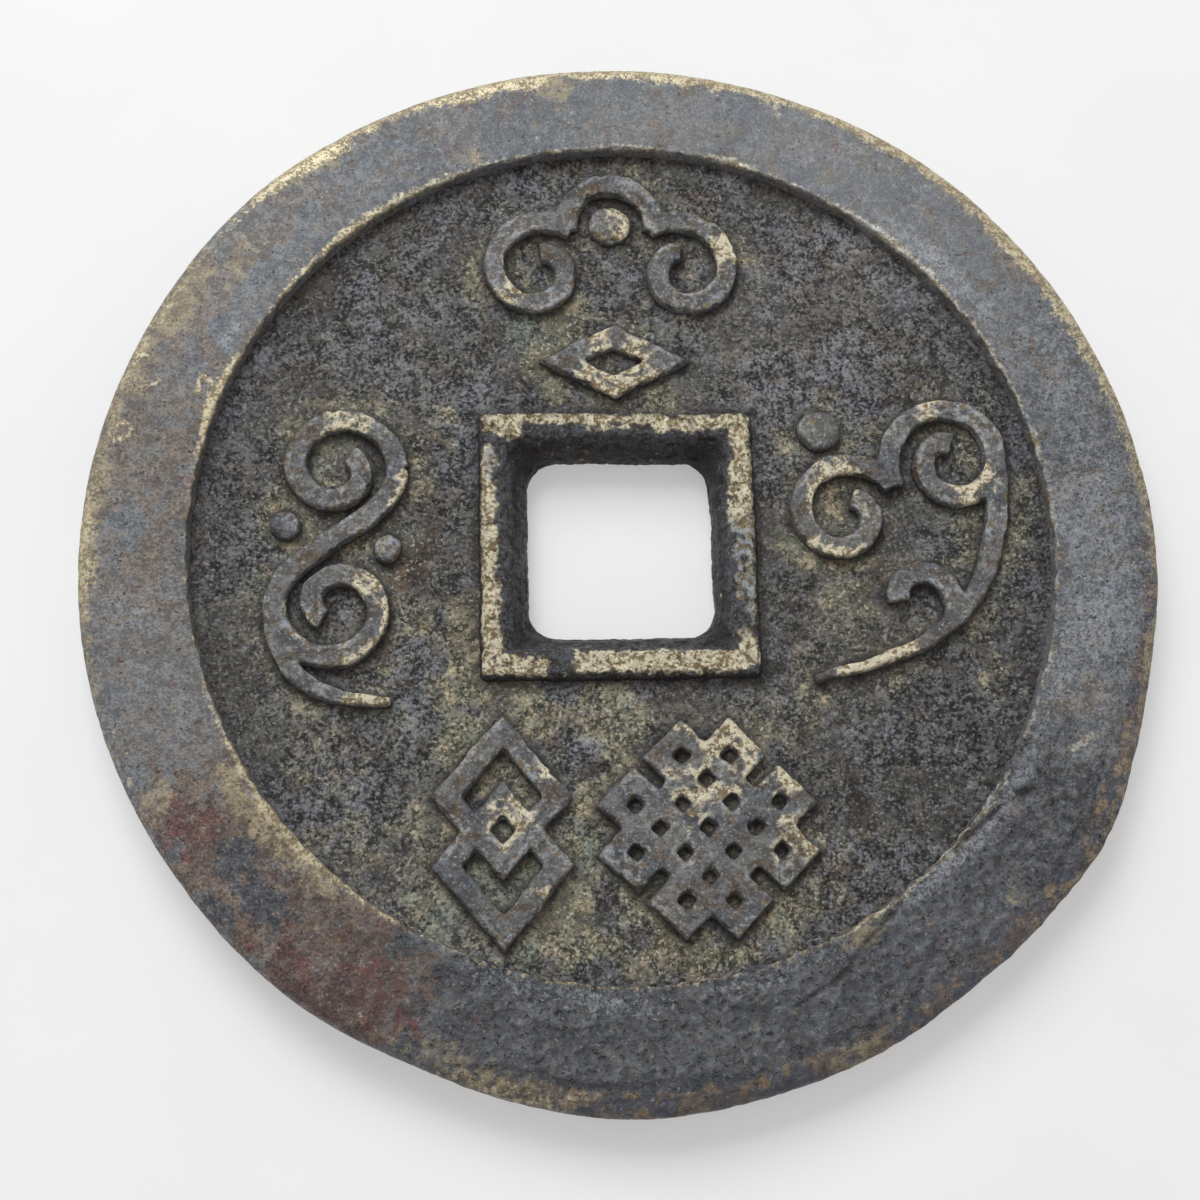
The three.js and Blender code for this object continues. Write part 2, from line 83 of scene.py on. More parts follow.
# Stores masks from 0 to 1 as attributes for the materials
def paint(mesh, **masks):
    for name, values in masks.items():
        layer = mesh.attributes.new(name, "FLOAT", "POINT")
        layer.data.foreach_set("value", np.clip(values, 0, 1).astype(np.float32))


# Noise of lumps of a size in millimetres
def noiseAt(points, size, seed, stretch=(1, 1, 1)):
    scaled = points * (np.array(stretch) / (size * mm)) + seed * 7.31
    return np.array([noise.noise(p) for p in scaled.tolist()])


# Adds up noise: size of the lumps in millimetres, height, seed
def layered(points, layers):
    return sum(height * noiseAt(points, size, seed) for size, height, seed in layers)


def smoothStep(low, high, values):
    share = np.clip((values - low) / (high - low), 0, 1)
    return share * share * (3 - 2 * share)


def bell(distance, width):
    return np.exp(-(distance / width) ** 2)


def angleFrom(angles, degrees):
    turn = angles - math.radians(degrees)
    return np.arctan2(np.sin(turn), np.cos(turn))


# Adds up soft humps round the coin: angle in degrees, amount, spread in degrees
def aroundCoin(angles, humps):
    total = np.zeros(len(angles))
    for angle, amount, spread in humps:
        total += amount * bell(angleFrom(angles, angle), math.radians(spread))
    return total


# Patches with ragged, drifting edges: each has a strength, and a reach that is 1 near its edge
def patchwork(points, patches, edge, ragged, grain, seed, finer, finerShare=0.6):
    wobble = noiseAt(points, grain, seed) + finerShare * noiseAt(points, finer * grain, seed + 1)
    mask = np.zeros(len(points))
    for strength, reach in patches:
        mask = np.maximum(mask, strength * smoothStep(*edge, reach + ragged * wobble))
    return mask


# Blots: x, y and size in millimetres, then strength
def blots(points, places, ragged, grain, seed):
    patches = ((strength, awayFrom(points, x, y) / (size * mm)) for x, y, size, strength in places)
    return patchwork(points, patches, (1.35, 0.35), ragged, grain, seed, 0.45)


# Patches of the rim: angle, depth from the outer edge, length along, half width, strength
def rimPatches(points, fromEdge, places, seed):
    angles = np.arctan2(points[:, 1], points[:, 0])
    around = np.hypot(points[:, 0], points[:, 1])
    patches = (
        (strength, np.hypot(angleFrom(angles, angle) * around / (length * mm),
                            (fromEdge - depth * mm) / (width * mm)))
        for angle, depth, length, width, strength in places
    )
    return patchwork(points, patches, (1.5, 0.3), 0.55, 1.3, seed, 0.4)


# Rubbed strokes: from x, y to x, y, then half width and strength
def strokes(points, places, ragged=0.8, grain=0.9, seed=41):
    patches = (
        (strength, lineDistance(points, ((startX, startY), (endX, endY))) / (width * mm))
        for startX, startY, endX, endY, width, strength in places
    )
    return patchwork(points, patches, (1.55, 0.4), ragged, grain, seed, 0.35, 0.7)


# Distance in plan from each point to a place in millimetres
def awayFrom(points, x, y):
    return np.hypot(points[:, 0] - x * mm, points[:, 1] - y * mm)


# Half side of the square round the hole's middle on which each point lies
def squareReach(x, y):
    return np.maximum(np.abs(x - holeCentre.x), np.abs(y - holeCentre.y))


# Distance in plan from each point to a line drawn through places in millimetres
def lineDistance(points, places):
    plan = points[:, :2]
    nearest = np.full(len(points), 1.0)
    for start, end in zip(places, places[1:]):
        a = np.array(start) * mm
        along = np.array(end) * mm - a
        share = np.clip((plan - a) @ along / (along @ along), 0, 1)
        gap = plan - a - share[:, None] * along
        nearest = np.minimum(nearest, np.hypot(gap[:, 0], gap[:, 1]))
    return nearest


# How far each point stands out of its smoothed surroundings: above 0 on edges, below in creases
def standOut(mesh, rounds):
    points = readPoints(mesh)
    count = len(points)
    ends = np.empty(len(mesh.edges) * 2, dtype=np.int64)
    mesh.edges.foreach_get("vertices", ends)
    a, b = ends.reshape(-1, 2).T
    degree = np.bincount(a, minlength=count) + np.bincount(b, minlength=count)
    calm = points.copy()
    for _ in range(rounds):
        calm = np.stack([
            (np.bincount(a, calm[b, axis], count) + np.bincount(b, calm[a, axis], count)) / degree
            for axis in range(3)
        ], axis=1)
    return np.einsum("ij,ij->i", points - calm, readNormals(mesh))


def meshFrom(bm, name):
    mesh = bpy.data.meshes.new(name)
    bm.to_mesh(mesh)
    bm.free()
    return mesh


def addObject(name, data):
    made = bpy.data.objects.new(name, data)
    scene.collection.objects.link(made)
    return made


def roundCorners(bm, corners, width, segments):
    return bmesh.ops.bevel(bm, geom=corners, offset=width, segments=segments, profile=0.5,
                           affect="VERTICES", material=-1)["verts"]


def cutEvenly(bm, edges, spacing, filled=True):
    cuts = int(max(e.calc_length() for e in edges) / spacing)
    if cuts:
        bmesh.ops.subdivide_edges(bm, edges=edges, cuts=cuts, use_grid_fill=filled)


# Rounds off every edge of a fine mesh
def soften(bm, rounds):
    for _ in range(rounds):
        bmesh.ops.smooth_vert(bm, verts=bm.verts, factor=0.5,
                              use_axis_x=True, use_axis_y=True, use_axis_z=True)


# Puts a finished bmesh in the scene as a named piece that stands for CAD nodes
def placePiece(name, bm, material, slot, *nodes):
    mesh = meshFrom(bm, name)
    mesh.shade_smooth()
    mesh.materials.append(material)
    piece = addObject(name, mesh)
    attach(piece, "root")
    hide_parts(*nodes)
    return piece


# Shader helpers

def srgb(red, green, blue):
    channels = [c / 255 for c in (red, green, blue)]
    return [c / 12.92 if c <= 0.04045 else ((c + 0.055) / 1.055) ** 2.4 for c in channels] + [1]


def palette(**colors):
    return {name: srgb(*color) for name, color in colors.items()}


def feed(socket, source):
    if isinstance(source, bpy.types.NodeSocket):
        socket.id_data.links.new(source, socket)
    else:
        socket.default_value = source


# Adds a node to the tree named, or else to the tree of the sockets that feed it
def addNode(kind, inputs, tree=None, **settings):
    if tree is None:
        tree = next(s.id_data for s in inputs.values() if isinstance(s, bpy.types.NodeSocket))
    node = tree.nodes.new("ShaderNode" + kind)
    node.location = (220 * (len(tree.nodes) % 12), -260 * (len(tree.nodes) // 12))
    for name, value in settings.items():
        setattr(node, name, value)
    for name, source in inputs.items():
        feed(node.inputs[name], source)
    return node


def calc(operation, a, b, clamp=False):
    return addNode("Math", {0: a, 1: b}, operation=operation, use_clamp=clamp).outputs[0]


def times(a, b):
    return calc("MULTIPLY", a, b)


def plus(a, b, clamp=False):
    return calc("ADD", a, b, clamp)


def minus(a, b):
    return calc("SUBTRACT", a, b)


def remap(value, low, high, toLow=0.0, toHigh=1.0):
    inputs = {"Value": value, "From Min": low, "From Max": high, "To Min": toLow, "To Max": toHigh}
    return addNode("MapRange", inputs, interpolation_type="SMOOTHSTEP").outputs["Result"]


def blend(factor, a, b, mode="MIX"):
    inputs = {0: factor, 6: a, 7: b}
    return addNode("Mix", inputs, data_type="RGBA", blend_type=mode).outputs[2]


# Lays a colour over another, where the mask shows and by a share of it
def over(base, mask, share, color):
    return blend(times(mask, share), base, color)


# Makes a colour lighter or darker all through
def shaded(color, level):
    inputs = {"Red": level, "Green": level, "Blue": level}
    return blend(1.0, color, addNode("CombineColor", inputs).outputs[0], "MULTIPLY")


def cloudy(place, scale, detail=3.0, roughness=0.6, distortion=0.0):
    inputs = {"Vector": place, "Scale": scale, "Detail": detail, "Roughness": roughness}
    inputs["Distortion"] = distortion
    return addNode("TexNoise", inputs).outputs["Fac"]


def newGroup(name, inputs, outputs):
    tree = bpy.data.node_groups.new(name, "ShaderNodeTree")
    kinds = {float: "NodeSocketFloat", list: "NodeSocketColor", tuple: "NodeSocketVector"}
    for label, value in inputs.items():
        socket = tree.interface.new_socket(label, in_out="INPUT", socket_type=kinds[type(value)])
        socket.default_value = value
    for label, kind in outputs.items():
        tree.interface.new_socket(label, in_out="OUTPUT", socket_type=kinds[kind])
    return tree, tree.nodes.new("NodeGroupInput").outputs, tree.nodes.new("NodeGroupOutput").inputs


# Sand-cast skin: rounded grains, finer roughness on them and pits between
def makeCastGrain():
    tree, given, out = newGroup(
        "castGrain", {"Vector": (0, 0, 0), "Scale": 4000.0}, {"Height": float, "Tone": float},
    )
    place = given["Vector"]
    scale = given["Scale"]
    drift = addNode("TexNoise", {"Vector": place, "Scale": scale, "Detail": 2.0}).outputs["Color"]
    centred = addNode("VectorMath", {0: drift, 1: (0.5, 0.5, 0.5)}, operation="SUBTRACT")
    reach = {0: centred.outputs[0], "Scale": calc("DIVIDE", 1.1, scale)}
    small = addNode("VectorMath", reach, operation="SCALE")
    moved = addNode("VectorMath", {0: place, 1: small.outputs[0]}, operation="ADD")
    cells = {"Vector": moved.outputs[0], "Scale": scale}
    gaps = addNode("TexVoronoi", cells, feature="F1").outputs["Distance"]
    fine = cloudy(place, times(scale, 0.9), 5.0, 0.72, 0.3)
    broad = cloudy(place, times(scale, 0.3), 2.0, 0.5)
    height = plus(times(minus(1.0, gaps), 0.2), times(fine, 0.8))
    height = plus(height, times(minus(broad, 0.5), 0.45))
    feed(out["Height"], height)
    feed(out["Tone"], remap(height, 0.38, 0.62))
    return tree


# Three tones of one finish drifting into each other
def makeMottle():
    black = [0, 0, 0, 1]
    inputs = {"Vector": (0, 0, 0), "Scale": 300.0, "First": black, "Second": black, "Third": black}
    tree, given, out = newGroup("patinaMottle", inputs, {"Color": list})
    wide = cloudy(given["Vector"], given["Scale"], 5.0, 0.6, 0.4)
    close = cloudy(given["Vector"], times(given["Scale"], 3.1), 3.0, 0.5, 0.3)
    pair = blend(remap(wide, 0.36, 0.62), given["First"], given["Second"])
    feed(out["Color"], blend(remap(close, 0.5, 0.68), pair, given["Third"]))
    return tree


# Breaks a soft mask into ragged, pitted patches
def makeRagged():
    inputs = {"Vector": (0, 0, 0), "Mask": 0.0, "Scale": 2500.0, "Breakup": 0.6, "Softness": 0.12}
    tree, given, out = newGroup("raggedMask", inputs, {"Mask": float})
    drift = minus(cloudy(given["Vector"], given["Scale"], 4.0, 0.7), 0.5)
    shifted = plus(given["Mask"], times(times(drift, given["Breakup"]), 2.0))
    low = minus(0.5, given["Softness"])
    high = plus(0.5, given["Softness"])
    feed(out["Mask"], remap(shifted, low, high))
    return tree


# Loose bright or dark grains: the share is how much of the surface they cover
def makeSpecks():
    inputs = {"Vector": (0, 0, 0), "Scale": 5000.0, "Share": 0.1}
    tree, given, out = newGroup("looseSpecks", inputs, {"Mask": float})
    low = minus(0.72, given["Share"])
    level = cloudy(given["Vector"], given["Scale"], 1.5, 0.5)
    feed(out["Mask"], remap(level, low, plus(low, 0.07)))
    return tree


castGrain = makeCastGrain()
patinaMottle = makeMottle()
raggedMask = makeRagged()
looseSpecks = makeSpecks()

# Metals and shadows that several finishes share, and how deep each finish's grain is
tones = palette(
    brass=(248, 238, 210), brassDeep=(152, 135, 103), edgeBrass=(208, 196, 164),
    edgeDeep=(150, 136, 110), paleBare=(182, 187, 193), pit=(34, 30, 29), shade=(48, 44, 43),
)
bumps = {"rim": 0.09 * mm, "skin": 0.18 * mm, "field": 0.24 * mm, "relief": 0.2 * mm, "border": 0.26 * mm}


def placed(group, inputs):
    return addNode("Group", inputs, node_tree=group).outputs


def grained(place, scale):
    return placed(castGrain, {"Vector": place, "Scale": scale})


def mottled(place, scale, look, *names):
    tints = dict(zip(("First", "Second", "Third"), (look[name] for name in names)))
    return placed(patinaMottle, {"Vector": place, "Scale": scale, **tints})["Color"]


def frayed(place, mask, scale, breakup, softness):
    inputs = {"Vector": place, "Mask": mask, "Scale": scale, "Breakup": breakup, "Softness": softness}
    return placed(raggedMask, inputs)["Mask"]


def speckled(place, scale, share):
    return placed(looseSpecks, {"Vector": place, "Scale": scale, "Share": share})["Mask"]


# Returns a material, the place of each point on its object, and what reads a painted mask
def newMaterial(name):
    material = bpy.data.materials.new(name)
    material.use_nodes = True
    tree = material.node_tree

    def painted(mask):
        return addNode("Attribute", {}, tree, attribute_name=mask).outputs["Fac"]

    return material, addNode("TexCoord", {}, tree).outputs["Object"], painted


# A bump, and under it another where Normal is given
def addBump(height, distance, strength=1.0, **under):
    inputs = {"Height": height, "Distance": distance, "Strength": strength, **under}
    return addNode("Bump", inputs).outputs["Normal"]


# Metal rubbed bare: silvery where it is painted cool, deeper between the grains
def bareMetal(tone, low, high, painted, warm, deep):
    bare = blend(painted("cool"), tones[warm], tones["paleBare"])
    return blend(remap(tone, low, high), tones[deep], bare)


# Feeds the surface of a material, with wires or with plain values
def dress(material, color, metal, roughness, normal):
    surface = material.node_tree.nodes["Principled BSDF"].inputs
    feed(surface["Base Color"], color)
    feed(surface["Metallic"], metal)
    feed(surface["Roughness"], roughness)
    feed(surface["Normal"], normal)
    return material


def makeRimPatina():
    look = palette(
        slate=(101, 105, 111), grey=(113, 114, 116), warm=(110, 106, 102),
        brown=(114, 103, 93), brownGrey=(118, 111, 106), tan=(150, 138, 112),
        rust=(110, 94, 86), rustBrown=(96, 82, 76), rustTan=(124, 108, 90),
        maroon=(108, 66, 62), maroonDark=(82, 60, 60), island=(66, 70, 78),
        blueGrey=(106, 114, 122), skin=(70, 74, 81), skinPale=(108, 111, 116),
        skinPit=(42, 42, 45), scuff=(164, 169, 176), shoulder=(104, 90, 80),
        shoulderBlue=(76, 80, 92), shoulderTan=(138, 118, 92),
    )
    material, place, painted = newMaterial("rim_patina")
    grain = grained(place, 6400.0)
    tone = grain["Tone"]
    skinGrain = grained(place, 2900.0)
    skin = painted("skin")
    rough = painted("rough")
    scuffed = painted("scuff")

    skinPits = speckled(place, 3000.0, 0.1)
    skinColor = blend(skinGrain["Tone"], look["skin"], look["skinPale"])
    skinColor = over(skinColor, skinPits, 0.65, look["skinPit"])
    base = mottled(place, 210.0, look, "slate", "grey", "warm")
    base = over(base, skin, 0.85, skinColor)
    # painted shade in the hollows between the skin's lumps, so that they read in soft light
    base = over(base, painted("hollow"), 0.35, look["skinPit"])

    # painted mask, its scale, breakup, softness and share, then its colour or what mottles it
    stains = (
        ("brown", 900.0, 1.1, 0.4, 0.9, (260.0, look, "brown", "brownGrey", "grey")),
        ("rust", 1200.0, 1.3, 0.3, 0.9, (520.0, look, "rust", "rustBrown", "rustTan")),
        ("maroon", 1300.0, 1.5, 0.35, 0.85, (700.0, look, "maroon", "maroonDark", "rustBrown")),
        ("island", 1900.0, 1.8, 0.16, 0.9, "island"),
        ("bluish", 1600.0, 1.3, 0.18, 0.7, "blueGrey"),
        ("shoulder", 1300.0, 1.0, 0.3, 0.85, (430.0, look, "shoulder", "shoulderBlue", "shoulderTan")),
        ("ochre", 1900.0, 1.5, 0.35, 0.75, "tan"),
    )
    for name, scale, breakup, softness, share, tint in stains:
        mask = frayed(place, painted(name), scale, breakup, softness)
        color = look[tint] if isinstance(tint, str) else mottled(place, *tint)
        base = over(base, mask, share, color)
    swing = plus(times(rough, 0.6), 0.2)
    level = times(minus(tone, 0.5), swing)
    # paler where painted: the rim's own paler tone, and on the inner wall a painted lift of its shade
    level = plus(level, times(painted("pale"), 0.18))
    base = shaded(base, plus(level, 0.97))

    scuffs = speckled(place, 7000.0, plus(times(scuffed, 0.12), 0.06))
    scuffShare = remap(cloudy(place, 300.0), 0.5, 0.65, 0.12, 0.4)
    scuffShare = plus(scuffShare, times(scuffed, 0.45), clamp=True)
    base = over(base, scuffs, scuffShare, look["scuff"])
    frost = frayed(place, times(scuffed, 0.5), 3400.0, 1.7, 0.25)
    base = over(base, frost, 0.5, look["scuff"])
    pits = speckled(place, 4600.0, 0.04)
    base = over(base, pits, plus(times(rough, 0.3), 0.4), tones["pit"])

    worn = frayed(place, painted("wear"), 3200.0, 1.2, 0.26)
    base = over(base, worn, 0.9, bareMetal(tone, 0.1, 0.8, painted, "edgeBrass", "edgeDeep"))
    base = over(base, painted("line"), 0.88, tones["pit"])

    metal = plus(times(worn, 0.25), 0.2)
    gloss = remap(tone, 0.0, 1.0, 0.68, 0.46)
    pitted = minus(grain["Height"], times(pits, 0.8))
    fineBump = addBump(times(pitted, plus(rough, 0.4)), bumps["rim"], 0.9)
    depth = minus(skinGrain["Height"], times(skinPits, 0.5))
    depth = times(depth, plus(skin, times(rough, 0.2)))
    return dress(material, base, metal, gloss, addBump(depth, bumps["skin"], Normal=fineBump))


def makeFieldPatina():
    look = palette(
        slate=(107, 108, 113), brown=(84, 77, 73), olive=(98, 95, 91),
        earth=(132, 124, 105), beige=(182, 168, 138), moss=(124, 125, 108),
        rust=(98, 72, 60), rustDark=(74, 58, 52), verdigris=(156, 170, 152),
        speck=(202, 194, 168), paleSpeck=(182, 184, 190),
    )
    material, place, painted = newMaterial("field_patina")
    grain = grained(place, 5000.0)
    tone = grain["Tone"]
    deposit = frayed(place, painted("deposit"), 1100.0, 1.0, 0.42)
    earth = mottled(place, 400.0, look, "earth", "moss", "beige")
    rust = frayed(place, painted("rust"), 1500.0, 0.7, 0.45)
    rusty = mottled(place, 800.0, look, "rust", "rustDark", "brown")
    base = mottled(place, 240.0, look, "slate", "olive", "brown")
    base = over(base, deposit, 0.9, earth)
    base = over(base, rust, 0.75, rusty)

    level = remap(cloudy(place, 430.0), 0.34, 0.66, 0.8, 1.12)
    level = plus(level, times(painted("ashen"), 0.27))
    # the field is darker in these blots, most of them against the rim
    level = minus(level, times(painted("sooty"), 0.24))
    base = shaded(base, level)
    calm = remap(cloudy(place, 230.0), 0.48, 0.62, 0.0, 0.5)
    calm = plus(calm, times(painted("crease"), 0.4))
    calm = plus(calm, times(deposit, 0.15))
    swing = times(minus(1.0, calm), 1.6)
    contrast = times(minus(tone, 0.5), swing)
    base = shaded(base, plus(contrast, 0.98))

    green = frayed(place, painted("verdigris"), 4600.0, 1.6, 0.22)
    base = over(base, green, remap(tone, 0.2, 0.7, 0.2, 0.75), look["verdigris"])
    specks = speckled(place, 5000.0, 0.13)
    speckColor = blend(deposit, look["paleSpeck"], look["speck"])
    base = over(base, specks, remap(deposit, 0.0, 1.0, 0.4, 0.8), speckColor)
    pits = speckled(place, 3700.0, 0.11)
    base = over(base, pits, 0.6, tones["shade"])
    # grime and painted shade in the creases, laid in the shade colour
    base = over(base, painted("crease"), 0.85, tones["shade"])

    metal = times(minus(1.0, deposit), 0.15)
    gloss = remap(tone, 0.0, 1.0, 0.8, 0.46)
    pitted = minus(grain["Height"], times(pits, 0.35))
    return dress(material, base, metal, gloss, addBump(pitted, bumps["field"]))


def makeReliefPatina():
    look = palette(
        slate=(97, 100, 105), grey=(125, 124, 122), warm=(108, 95, 82),
        side=(36, 32, 31), scuff=(198, 201, 205),
    )
    material, place, painted = newMaterial("relief_patina")
    grain = grained(place, 5000.0)
    tone = grain["Tone"]
    base = mottled(place, 340.0, look, "slate", "grey", "warm")
    base = shaded(base, remap(tone, 0.0, 1.0, 0.66, 1.22))
    base = over(base, speckled(place, 5600.0, 0.09), 0.5, look["scuff"])
    worn = frayed(place, painted("wear"), 2900.0, 1.2, 0.32)
    base = over(base, worn, 0.9, bareMetal(tone, 0.0, 0.6, painted, "brass", "brassDeep"))
    # the lower half of each side is darkened: grime at the foot and painted shade
    base = over(base, painted("crease"), 0.9, look["side"])

    metal = plus(times(worn, 0.4), 0.2)
    gloss = remap(tone, 0.0, 1.0, 0.62, 0.42)
    return dress(material, base, metal, gloss, addBump(grain["Height"], bumps["relief"]))


def makeBorderBrass():
    look = palette(
        slate=(92, 95, 101), brown=(56, 50, 47), wall=(32, 30, 33),
        wallSlate=(54, 56, 62), scuff=(172, 178, 185), rim=(104, 90, 70),
    )
    material, place, painted = newMaterial("border_brass")
    grain = grained(place, 5200.0)
    tone = grain["Tone"]
    crest = painted("crest")
    wear = painted("wear")
    # the lining of the hole is kept very dark: its patina, and painted shade inside the hole
    side = mottled(place, 450.0, look, "wall", "brown", "wallSlate")
    side = shaded(side, remap(tone, 0.0, 1.0, 0.75, 1.05))
    top = blend(remap(tone, 0.0, 0.8), look["brown"], look["slate"])
    base = blend(crest, side, top)
    scuffs = times(speckled(place, 5600.0, 0.08), crest)
    base = over(base, scuffs, 0.45, look["scuff"])

    stain = frayed(place, wear, 3600.0, 1.3, 0.3)
    worn = frayed(place, minus(wear, 0.03), 3000.0, 1.2, 0.34)
    bare = bareMetal(tone, 0.0, 0.65, painted, "brass", "brassDeep")
    # broad brighter and darker patches on the bare brass, partly painted glints
    bare = shaded(bare, remap(cloudy(place, 1500.0, 4.0, 0.7), 0.36, 0.62, 0.86, 1.12))
    holes = speckled(place, 5600.0, 0.1)
    bare = over(bare, holes, 0.65, look["brown"])
    base = over(base, stain, 0.7, look["rim"])
    base = blend(worn, base, bare)
    # darker in the hollows and along the foot, as grime and painted shade
    base = over(base, painted("crease"), 0.85, tones["pit"])

    metal = plus(times(worn, 0.45), 0.2)
    gloss = remap(tone, 0.0, 1.0, 0.56, 0.3)
    pitted = minus(grain["Height"], times(holes, 0.7))
    return dress(material, base, metal, gloss, addBump(pitted, bumps["border"]))


rimPatina = makeRimPatina()
fieldPatina = makeFieldPatina()
reliefPatina = makeReliefPatina()
borderBrass = makeBorderBrass()
print("materials: 4 finishes, 4 shared groups")


